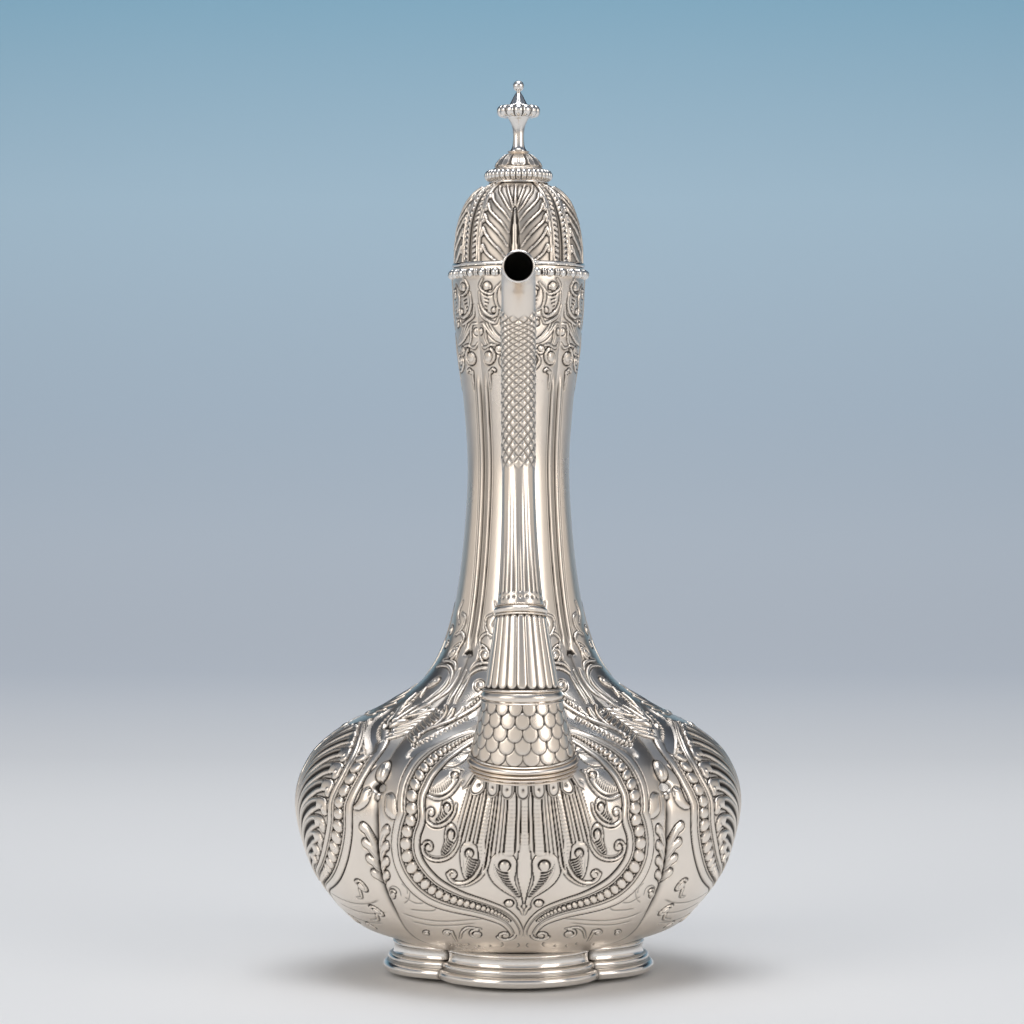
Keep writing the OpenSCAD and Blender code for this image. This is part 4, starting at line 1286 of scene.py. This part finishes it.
def chase_dome(r):
    degrees = np.degrees(r.w / dome_radius(r.s))
    for rib in DOME_RIBS:
        r.ridge(by_degrees(rib), (0.5, 0.75, 0.85, 0.9, 0.8), 0.55, 0.07)
        r.ball(by_degrees([rib[-1]])[0], 0.7, 0.6, 0.12)
    r.ridge(by_degrees([(0, 0), (0, 6), (0, 12), (0, 17)]), (2, 1.6, 1.1, 0.4), 0.42, 0.34)
    r.cut(by_degrees([(5.2, 0), (4.4, 6), (3.2, 12), (1.4, 17)]), 0.5, 0.16)
    bare = (1 - smoothstep(31, 33, degrees)) * (1 - smoothstep(0, 0.2, r.high))
    r.ground = np.maximum(r.ground, 0.32 * bare)
    for place in (34.2, 36.6):
        r.ridge(by_degrees([(place, -0.5), (place, 9), (place - 0.3, 18), (place - 1.2, 30.5)]),
                (0.85, 0.8, 0.7, 0.5), 0.36, 0.3)
    band = between(37.6, 38.2, 41.7, 42.3, degrees)
    slant = np.cos(2 * math.pi * (r.s + 0.14 * (degrees - 40)) / 1.75)
    r.high = np.maximum(r.high, band * (0.1 + 0.34 * smoothstep(-0.5, 0.6, slant)))
    r.ground = np.maximum(r.ground, band * 0.7 * smoothstep(-0.2, -0.9, slant))
    groove = smoothstep(42, 42.8, degrees)
    r.base -= 0.45 * groove
    r.ground = np.maximum(r.ground, 0.3 * groove)


def dome_pieces():
    """The chased dome, from one half panel repeated all round, and the dome's inside."""
    s_line = np.linspace(0, DOME_S[-1], int(DOME_S[-1] / DOME_SPACING))
    angle, s = np.meshgrid(np.linspace(0, QUARTER, DOME_COLS), s_line)
    r = Relief(angle * dome_radius(s), s)
    chase_dome(r)

    def all_round(field):
        return np.tile(np.concatenate([field[:, :0:-1], field[:, :-1]], axis=1), 4)

    height, dark = all_round(r.height()), all_round(r.darkness(DOME_SPACING))
    turn = round_angles(height.shape[1]) - math.pi / 2 - QUARTER + DOME_TURN
    normal = unit(np.gradient(DOME_CURVE, axis=0))
    out_r = np.interp(s_line, DOME_S, normal[:, 1])[:, None]
    out_z = -np.interp(s_line, DOME_S, normal[:, 0])[:, None]
    radius = dome_radius(s_line)[:, None] + height * out_r
    z = np.interp(s_line, DOME_S, DOME_CURVE[:, 1])[:, None] + height * out_z
    points = round_upright(radius, turn, z)
    grid_mesh("dome_chased", points, chased, ["lid_dome"], dark=dark, body="lid")
    rows = [(9.0, 255.4), (2, 255.4), (1.3, 255.4), (1.3, 254.2), (9, 254.2)]
    rows += [(p[0] - 1.1, p[1] - 0.3) for p in DOME_CURVE[::-4]] + [(19.7, 229.9), (20.8, 229.9)]
    turned_piece("dome_lining", rows, plain, "lid_dome", 96, 1)


def turned_piece(name, profile, look, replaced, cols, per_span, shape=None, dark=None):
    """A turned shape of the lid from its [radius, height] points, which shape(angle, r, z) moves."""
    line = spline(profile, per_span) if per_span > 1 else np.array(profile, float)
    angle, _ = np.meshgrid(round_angles(cols), line[:, 0])
    r = line[:, 0][:, None] + 0 * angle
    z = line[:, 1][:, None] + 0 * angle
    if shape:
        r, z = shape(angle, r, z)
    points = round_upright(r, angle, z)
    shade = dark(angle, z) if dark else None
    grid_mesh(name, points, look, [replaced], dark=shade, body="lid")


def rolled(centre_r, centre_z, radius, start, end, steps):
    """Points of a round moulding in profile, by its angles in degrees."""
    return [(centre_r + radius * math.cos(math.radians(a)), centre_z + radius * math.sin(math.radians(a)))
            for a in np.linspace(start, end, steps)]


GADROONS = 36
LAPPETS = 8
BUTTON_LOBES = 14


def gadroon(count, depth, centre, radius):
    """A round moulding cut into a row of lobes: centre is its [radius, height]."""
    middle, level = centre

    def shape(angle, r, z):
        x = np.clip(np.abs(cell_place(angle, count)) * 2, 0, 1)
        reach = np.hypot(r - middle, z - level)
        near = (1 - smoothstep(radius * 1.02, radius * 1.25, reach)) * smoothstep(-0.9, 0.2, r - middle)
        size = 1 - depth * near * (1 - np.sqrt(1 - x ** 2.6))
        return middle + (r - middle) * size, level + (z - level) * size

    def dark(angle, z):
        x = np.abs(cell_place(angle, count)) * 2
        zone = 1 - smoothstep(radius * 0.95, radius * 1.1, np.abs(z - level))
        return 0.9 * zone * smoothstep(0.74, 0.98, x)

    return shape, dark


def lappets(angle, up, count, lift, ground):
    """Height and darkness of a ring of round-tipped leaves: up runs from 0 at their tips to 1.

    lift is how high a leaf, its rib and its rim stand, and ground how dark it is between them.
    """
    x = np.abs(cell_place(angle, count)) * 2
    up = np.clip(up, 0, 1)
    edge = np.clip(0.25 + 1.3 * np.sqrt(up), 0, 0.9)
    leaf = smoothstep(0, 0.12, edge - x) * (up > 0.02)
    rib = bump(x, 0, 0.1)
    rim = bump(edge - x, 0.12, 0.09)
    height = lift[0] * leaf + lift[1] * leaf * rib + lift[2] * leaf * rim
    return height, ground * (1 - leaf) + 0.3 * leaf * (1 - rib) * (1 - rim)


def bell_lappets(angle, z):
    zone = between(260.9, 261.5, 265.2, 265.7, z)
    height, dark = lappets(angle, (z - 260.9) / 4.8, LAPPETS, (0.3, 0.16, 0.16), 0.85)
    return zone * height, zone * dark


def bell_shape(angle, r, z):
    return r + bell_lappets(angle, z)[0], z


def bell_dark(angle, z):
    return bell_lappets(angle, z)[1]


def finial_pieces():
    shape, dark = gadroon(GADROONS, 0.5, (9.3, 258.4), 1.85)
    turned_piece("finial_gadroons",
                 [(9, 255.8), (9.7, 255.85), (9.75, 256.3), (9.3, 256.65)]
                 + rolled(9.3, 258.4, 1.85, -75, 80, 11) + [(8.9, 260.25), (8, 260.3)],
                 polished_lined, "finial_ring", 432, 3, shape, dark)
    turned_piece("finial_bell_leaves",
                 [(8, 260.3), (8.15, 260.55), (7.95, 260.85), (7.45, 261.0), (7.35, 261.5), (6.9, 262.5),
                  (6.1, 263.6), (5, 264.6), (3.9, 265.4), (3.2, 265.75), (3.1, 265.95), (3.5, 266.1),
                  (3.5, 266.35), (2.6, 266.5)],
                 chased, "finial_bell", 360, 5, bell_shape, bell_dark)
    turned_piece("finial_stem_turned",
                 [(3, 266.4), (2.5, 266.9), (2.1, 267.8), (1.9, 269), (1.8, 270.6), (1.82, 272),
                  (2.02, 273.8), (2.4, 275.2), (2.95, 276.4), (3.5, 277.2), (3.7, 277.6)],
                 polished, "finial_stem", 96, 5)
    shape, dark = gadroon(BUTTON_LOBES, 0.55, (5.2, 279.4), 2)
    turned_piece("finial_button_lobes",
                 [(3.4, 277.5)] + rolled(5.2, 279.4, 1.95, -84, 84, 13) + [(4.3, 281.35), (3, 281.45)],
                 polished_lined, "finial_button", 336, 3, shape, dark)
    turned_piece("finial_tip_turned",
                 [(3.4, 281.3), (3, 281.6), (2.7, 282), (2.3, 282.8), (1.75, 283.9), (1.2, 284.9),
                  (0.8, 285.5), (0.65, 285.8), (0.75, 286.05)]
                 + rolled(0, 287.6, 1.8, -58, 89, 13),
                 polished, "finial_tip", 96, 4)


# ---- Rim and foot -------------------------------------------------------------------

RIM_BEADS = 30
# Radius and height of the wire's middle, the neck's radius inside it, and half the gap in degrees
RIM_RADIUS = 21.45
RIM_HEIGHT = 226.2
RIM_INSIDE = 20.4
RIM_GAP = 21.5


def rim_piece():
    """Bead-and-reel wire round the neck's mouth, open where the hinge sits."""
    gap = math.radians(RIM_GAP)
    per_cell = 26
    angles = np.linspace(math.pi / 2 + gap, math.pi * 2.5 - gap, RIM_BEADS * per_cell)
    place = (angles * RIM_BEADS / (2 * math.pi) + 0.5) % 1
    bead = 1.6 * half_round((place - 0.32) / 0.325)
    reels = [1.36 * half_round(((place - middle) / 0.075) ** 2) for middle in (0.755, 0.915)]
    radius = np.maximum(np.maximum(bead, np.maximum(*reels)), 0.7)
    radius[:2] = (0.3, 0.6)
    radius[-2:] = (0.6, 0.3)
    around = np.radians(np.linspace(-180, 180, 25))[:, None]
    r = np.maximum(RIM_RADIUS + radius * np.cos(around), RIM_INSIDE)
    z = RIM_HEIGHT + radius * np.sin(around)
    points = round_upright(r, angles, z)
    deep = np.clip((1.25 - radius) / 0.4, 0, 1) * 0.95
    dark = np.broadcast_to(deep, r.shape)
    grid_mesh("rim_bead_and_reel", points, polished_lined, ["rim_beading"], False, dark)


# How far a lobe's centre stands from the axis, and the rows of the grid inside and under the foot
FOOT_OFFSET = 17.2
FOOT_INSIDE_ROWS = 16


def foot_piece():
    """The four-lobed foot: a thick roll, a thin roll, a hollow band and a rise to the body."""
    outside = ([(20.5, 9.3), (20.5, 4), (20.6, 0.25), (21.2, 0), (24.8, 0), (25.8, 0.1)]
               + rolled(25.25, 1.72, 1.72, -65, 72, 8)
               + [(25.15, 3.55)] + rolled(24.25, 4.62, 1.12, -55, 62, 6)
               + [(24, 5.8), (23.7, 5.95), (23.45, 6.4), (23.3, 7.1), (23.3, 8), (23.45, 8.7),
                  (23.7, 9.1), (23.85, 9.35), (23.8, 9.7), (23.5, 10.1), (23.2, 10.6)])
    line = np.maximum(spline(outside, 4), 0)
    angle, _ = np.meshgrid(round_angles(720), line[:, 0])
    turn = from_lobe(angle)
    lobe_r = line[:, 0][:, None]
    inner = lobe_r ** 2 - (FOOT_OFFSET * np.sin(turn)) ** 2
    r = FOOT_OFFSET * np.cos(turn) + np.sqrt(np.clip(inner, 0, None))
    z = line[:, 1][:, None] + 0 * angle
    slot = bump(np.abs(turn), QUARTER, math.radians(1.5)) * smoothstep(5.4, 6.2, z) * (lobe_r > 22)
    r = r - 1.6 * slot
    points = round_upright(r, angle, z)
    # Painted shadow in the notches where the lobes meet, darkest in the cut slot.
    painted_notch_shadow = np.maximum(smoothstep(math.radians(1.4), 0, QUARTER - np.abs(turn)) * 0.6, 1.1 * slot)
    seam = bump(z, 3.5, 0.22) * 0.5 + bump(z, 5.85, 0.25) * 0.55 + bump(z, 10.4, 0.4) * 0.6
    outer = (np.arange(len(line)) > FOOT_INSIDE_ROWS)[:, None]
    dark = np.clip(painted_notch_shadow + seam, 0, 0.9) * outer
    grid_mesh("foot_lobed", points, polished_lined, ["foot_ring"], dark=dark)


# ---- Handle -------------------------------------------------------------------------

# [y, z, lean in degrees] of the sockets' axes where they start on the body
UPPER_SEAT = (20.4, 206, 15)
LOWER_SEAT = (45.2, 85.4, 66.8)
SOCKET_LENGTH = 9
# How far a cross pin lies from the socket's mouth or the grip's end
PIN_AT = 2.5
GRIP_CURVE = spline(GRIP_LINE, 40)
GRIP_RUN = lengths(GRIP_CURVE)
GRIP_LENGTH = GRIP_RUN[-1]
GRIP_DIR = unit(np.gradient(GRIP_CURVE, axis=0))
GRIP_LEAVES = 8
GRIP_FLUTES = 16
GRIP_LATTICE = 9


def on_axis(run, angle, radius, seat):
    """A point round a straight axis that starts at a seat: its y, its z and its lean in degrees."""
    y, z, lean = seat
    ty, tz = math.cos(math.radians(lean)), math.sin(math.radians(lean))
    return round_line(radius, angle, y + run * ty, z + run * tz, ty, tz)


def pin_dimple(run, angle, at):
    """A small flat round a cross pin's end."""
    away = np.hypot(run - at, 4.4 * np.minimum(np.abs(np.sin(angle)), 1))
    return smoothstep(1.25, 0.85, away)


def socket_piece(name, seat, node):
    """A tapering socket that follows the body at its foot, with leaves and a bead at its mouth."""
    profile = spline([(7, -1.6), (7, -0.4), (6.75, 0.5), (6.2, 1.3), (5.3, 2.6), (4.75, 4.2), (4.5, 5.6),
                      (4.45, 6.9), (4.6, 7.3), (4.95, 7.6), (5.1, 8.1), (4.95, 8.6), (4.6, 8.95),
                      (2.3, 9)], 8)
    angle, run = np.meshgrid(round_angles(180), profile[:, 1])
    radius = profile[:, 0][:, None] + 0 * angle
    ends = (np.full(angle[0].shape, place) for place in (-9.0, 4.0))
    foot = leaves_body(lambda place: on_axis(place, angle[0], 7, seat), *ends, -0.5)
    run = run + (foot - profile[0, 1]) * (1 - smoothstep(-1.6, 3, run))
    up = (5.8 - profile[:, 1][:, None]) / 5.4 + 0 * angle
    leaves, dark = lappets(angle, up, LAPPETS, (0.28, 0.14, 0.14), 0.8)
    zone = between(0.2, 0.7, 5.6, 6, profile[:, 1])[:, None]
    dimple = pin_dimple(run, angle, SOCKET_LENGTH - PIN_AT)
    radius = radius + zone * leaves
    radius = radius - dimple * np.clip(radius - 4, 0, None)
    dark = np.clip(zone * dark * (1 - dimple), 0, 1)
    seam = bump(profile[:, 1], 7.15, 0.2)[:, None]
    points = on_axis(run, angle, radius, seat)
    grid_mesh(name, points, chased, [node], dark=np.clip(dark + 0.8 * seam, 0, 1))


def insulator_piece(name, seat, node):
    """A bone collar turned with three rings."""
    profile = spline([(2.3, 0.02), (4.3, 0.02), (4.75, 0.15), (4.9, 0.6), (4.75, 1.05), (4.4, 1.25),
                      (4.75, 1.5), (4.9, 2), (4.75, 2.5), (4.4, 2.75), (4.75, 2.95), (4.9, 3.4),
                      (4.75, 3.85), (4.3, 3.98), (2.3, 3.98)], 5)
    angle, run = np.meshgrid(round_angles(128), profile[:, 1] + SOCKET_LENGTH)
    points = on_axis(run, angle, profile[:, 0][:, None], seat)
    grid_mesh(name, points, ivory_bone, [node])


def grip_piece():
    """The loop of the handle: leaves and flutes at both ends, and a lattice of diamonds between."""
    rows = int(GRIP_LENGTH / 0.34)
    angle, run = np.meshgrid(round_angles(132), np.linspace(0, GRIP_LENGTH, rows))
    from_end = np.minimum(run, GRIP_LENGTH - run)
    base = 4.2 + np.sin(math.pi * run / GRIP_LENGTH)
    zone = between(6.4, 6.7, 16.3, 16.7, from_end)
    leaves, dark = lappets(angle, (16.5 - from_end) / 10, GRIP_LEAVES, (0.3, 0.16, 0.14), 0.8)
    height = zone * leaves
    dark = zone * dark
    for middle, half, rise in ((4.5, 0.45, 0.35), (5.7, 0.7, 0.7)):
        height = np.maximum(height, rise * half_round((from_end - middle) / half))
    for seam in (3.95, 4.98, 6.48):
        dark = np.maximum(dark, 0.85 * bump(from_end, seam, 0.17))
    cell = 2 * math.pi * base / GRIP_FLUTES
    place = cell_place(angle, GRIP_FLUTES) * cell
    dot = bump(np.hypot(place, from_end - 18.2), 0, 0.42)
    rho = capsule(place, from_end, cell * 0.26, 19.6, 60)
    flute = bump(rho, 0, 0.85) * (1 - smoothstep(26, 40, from_end)) * (from_end > 17)
    height = height - 0.35 * dot - 0.3 * flute
    dark = dark + 0.95 * dot + 0.8 * flute * (1 - smoothstep(22, 38, from_end))
    climb = (run - GRIP_LENGTH / 2) / 7.2
    cells = 2 * math.pi * base / GRIP_LATTICE * 0.8
    near = np.minimum(np.abs(cell_place(angle, GRIP_LATTICE, climb)),
                      np.abs(cell_place(angle, GRIP_LATTICE, -climb))) * cells
    net = smoothstep(38, 41, from_end)
    height = height + net * 0.4 * (1 - bump(near, 0, 0.55))
    dark = dark + net * 0.7 * bump(near, 0, 0.3)
    for edge in (36.6, 37.8):
        height = height + 0.3 * bump(from_end, edge, 0.4)
        dark = dark + 0.5 * bump(from_end - edge, 0.6, 0.2)
    dimple = pin_dimple(from_end, angle, PIN_AT)
    radius = base + height - dimple * np.clip(base + height - 4, 0, None)
    radius[0] = radius[-1] = 2.3
    radius[1] = radius[-2] = 4
    run[1] = 0.02
    run[-2] = GRIP_LENGTH - 0.02
    y, z = (np.interp(run, GRIP_RUN, GRIP_CURVE[:, k]) for k in range(2))
    ty, tz = (np.interp(run, GRIP_RUN, GRIP_DIR[:, k]) for k in range(2))
    points = round_line(radius, angle, y, z, ty, tz)
    grid_mesh("grip_chased", points, chased, ["handle_grip"], dark=np.clip(dark, 0, 1))


# The hinge pin's y and z, and half the width of the hinge
HINGE_AT = (25.4, 228.4)
HINGE_HALF = 8


def hinge_leaf():
    """The hinge's plate: a fluted leaf that grows out of the neck under the knuckles."""
    profile = spline([(213.3, 0), (214, 0.45), (215.5, 1.4), (218, 2.9), (220.6, 4.8), (222.1, 6.1),
                      (222.5, 6.15), (222.8, 6.3), (223.4, 6.55), (224.1, 6.3), (224.4, 5.7),
                      (224.5, 5), (224.5, 0)], 8)
    turn, z = np.meshgrid(np.linspace(math.pi, 0, 97), profile[:, 0])
    out = profile[:, 1][:, None]
    half = HINGE_HALF * np.sqrt(np.clip(1 - ((222.6 - np.minimum(z, 222.6)) / 9.6) ** 2, 0.01, 1))
    x = half * np.sign(np.cos(turn)) * np.abs(np.cos(turn)) ** 0.55
    rise = np.sin(turn) ** 0.45
    wall = np.sqrt(20.3 ** 2 - x ** 2)
    leaf = smoothstep(214, 215.5, z) * smoothstep(222.4, 221.7, z) * smoothstep(0.6, 0.85, rise)
    fan = np.abs((np.arctan2(x, z - 206) / math.radians(6.6)) % 1 - 0.5) * 2
    valley = 1 - smoothstep(0, 0.45, 1 - fan)
    edge = np.abs(x) / half
    rim = smoothstep(0.8, 0.86, edge)
    valley = np.maximum(valley * (1 - rim), bump(edge, 0.8, 0.035))
    y = wall + (out + 20.6 - wall) * rise * (out > 0.01) - 0.3 * leaf * valley
    points = np.stack([x, y, z], axis=-1)
    dark = np.clip(0.75 * leaf * valley + 0.8 * bump(z, 222.45, 0.2) * (rise > 0.6), 0, 1)
    return points, dark


def hinge_knuckle(side):
    """One outer knuckle: a barrel with a groove, standing on the leaf."""
    around = np.radians(np.linspace(-40, 220, 61))
    loop = np.stack([2 * np.cos(around), 2 * np.sin(around)], axis=-1)
    foot = [(-2.05, -2.2), (-2.1, -3.6), (-2.1, -5.4), (1.7, -5.4), (1.75, -3.6), (1.65, -2.2)]
    loop = np.concatenate([loop, foot])
    steps = [(3.05, 0.42), (3.05, 0.86), (3.12, 0.94), (3.3, 1), (4.9, 1), (5.15, 0.96), (5.35, 0.86),
             (5.5, 0.84), (5.65, 0.86), (5.85, 0.96), (6.1, 1), (7.65, 1), (7.85, 0.96), (7.97, 0.86),
             (8, 0.42)]
    across, scale = np.array(steps).T
    if side < 0:
        across = -across[::-1]
        scale = scale[::-1]
    y = HINGE_AT[0] + scale[:, None] * loop[:, 0]
    z = HINGE_AT[1] + scale[:, None] * loop[:, 1]
    points = np.stack([across[:, None] + 0 * y, y, z], axis=-1)
    groove = bump(np.abs(across), 5.5, 0.3)[:, None]
    return points, 0.8 * groove + 0 * y


def hinge_pieces():
    points, dark = hinge_leaf()
    grid_mesh("hinge_leaf", points, chased, ["hinge_bracket"], False, dark)
    for side, name in ((-1, "left"), (1, "right")):
        points, dark = hinge_knuckle(side)
        grid_mesh(f"hinge_knuckle_{name}", points, chased, dark=dark)


def handle_pieces():
    for where, seat in (("upper", UPPER_SEAT), ("lower", LOWER_SEAT)):
        socket_piece(f"{where}_socket_leaves", seat, f"handle_{where}_socket")
        insulator_piece(f"{where}_insulator_rings", seat, f"handle_{where}_insulator")
    grip_piece()


spout_pieces()
dome_pieces()
finial_pieces()
rim_piece()
foot_piece()
handle_pieces()
hinge_pieces()

# ---- Camera, light and stage --------------------------------------------------------

camera_data = bpy.data.cameras.new("camera")
camera_data.lens = 118.65
camera_data.sensor_width = 36
camera_data.clip_end = 30
camera = bpy.data.objects.new("camera", camera_data)
camera.location = (0, -1.1, 0.167)
# Tilted down by 0.934 degrees and turned aside by 0.11
camera.rotation_euler = (math.radians(90 - 0.934), 0, math.radians(0.11))
bpy.context.scene.collection.objects.link(camera)
bpy.context.scene.camera = camera
bpy.context.scene.view_settings.view_transform = "Standard"


def area_light(name, place, target, size, power, colour):
    data = bpy.data.lights.new(name, "AREA")
    data.shape = "RECTANGLE"
    data.size, data.size_y = size
    data.energy = power
    data.color = colour
    light = bpy.data.objects.new(name, data)
    light.location = place
    light.rotation_euler = (Vector(target) - light.location).to_track_quat("-Z", "Y").to_euler()
    bpy.context.scene.collection.objects.link(light)


area_light("key_left", (-1.3, -1.2, 0.9), (0, 0, 0.12), (1.1, 1.3), 9, (1, 0.95, 0.89))
area_light("fill_right", (1.4, -1.1, 0.7), (0, 0, 0.12), (0.9, 1.2), 7, (1, 0.95, 0.9))
area_light("backdrop", (0, 1.2, 2.6), (0, 3.1, 0.4), (2.5, 0.8), 27, (1, 1, 1))
area_light("top", (0, -0.25, 1.7), (0, 0, 0.1), (1.0, 1.0), 13, (0.97, 0.98, 1))


# Heights in metres over which the backdrop changes its colour
BACKDROP_HEIGHTS = (-0.02, 1.4)
# Colour stops of the floor and backdrop, and of the light from all round, from below to above
# The backdrop darkens towards its top: a painted fall-off of the light on it.
BACKDROP = [(0, (0.95, 0.94, 0.92)), (0.0145, (0.87, 0.865, 0.855)), (0.02, (0.73, 0.74, 0.75)),
            (0.035, (0.59, 0.63, 0.68)), (0.16, (0.52, 0.62, 0.71)), (0.32, (0.46, 0.62, 0.73)),
            (0.5, (0.28, 0.49, 0.63)), (0.6, (0.2, 0.4, 0.52)), (0.8, (0.05, 0.07, 0.1)),
            (1, (0.03, 0.04, 0.06))]
SKY = [(0, (0.7, 0.64, 0.58)), (0.46, (0.7, 0.64, 0.58)), (0.54, (0.66, 0.61, 0.56)),
       (0.66, (0.44, 0.44, 0.45)), (0.8, (0.16, 0.19, 0.24)), (1, (0.1, 0.13, 0.18))]


def stage():
    """A pale floor that rises into a light blue backdrop."""
    profile = spline([(-3, 0), (-1.8, 0), (-0.6, 0), (0.3, 0), (0.9, 0.02), (1.6, 0.1), (2.4, 0.4),
                      (3, 1.15), (3.2, 2.2), (3.25, 3.6)], 10)
    points = [(x, y, z) for y, z in profile for x in (-5.0, 0.0, 5.0)]
    corners = [3 * row + side for row in range(len(profile) - 1) for side in (0, 1)]
    mesh = bpy.data.meshes.new("floor")
    mesh.from_pydata(points, [], [(a, a + 1, a + 4, a + 3) for a in corners])
    mesh.shade_smooth()
    material, tree = new_material("backdrop")
    out = add(tree, "OutputMaterial")
    shader = add(tree, "BsdfDiffuse")
    ramp = ramp_by_height(tree, "Object", *BACKDROP_HEIGHTS, BACKDROP)
    wire(tree, (ramp, "Color", shader, "Color"), (shader, "BSDF", out, "Surface"))
    mesh.materials.append(material)
    obj = bpy.data.objects.new("floor", mesh)
    bpy.context.scene.collection.objects.link(obj)


def world():
    """Soft light from all round: warm from below, dim blue from above."""
    studio = bpy.data.worlds.new("studio")
    bpy.context.scene.world = studio
    studio.use_nodes = True
    tree = studio.node_tree
    tree.nodes.clear()
    out = add(tree, "OutputWorld")
    back = add(tree, "Background")
    ramp = ramp_by_height(tree, "Generated", -1, 1, SKY)
    wire(tree, (ramp, "Color", back, "Color"), (back, "Background", out, "Surface"))


stage()
world()

# The CAD nodes that are seen as they are, by their look
CAD_LOOKS = [
    (polished, ["spout_lip", "lid_ledge", "hinge_pin", "handle_pins"]),
    (plain, ["lid_bezel", "lid_knuckle", "finial_stud", "finial_nut"]),
]
for (cad_material, _), names in CAD_LOOKS:
    for name in names:
        materials = frame["nodes"][name].data.materials
        materials.clear()
        materials.append(cad_material)
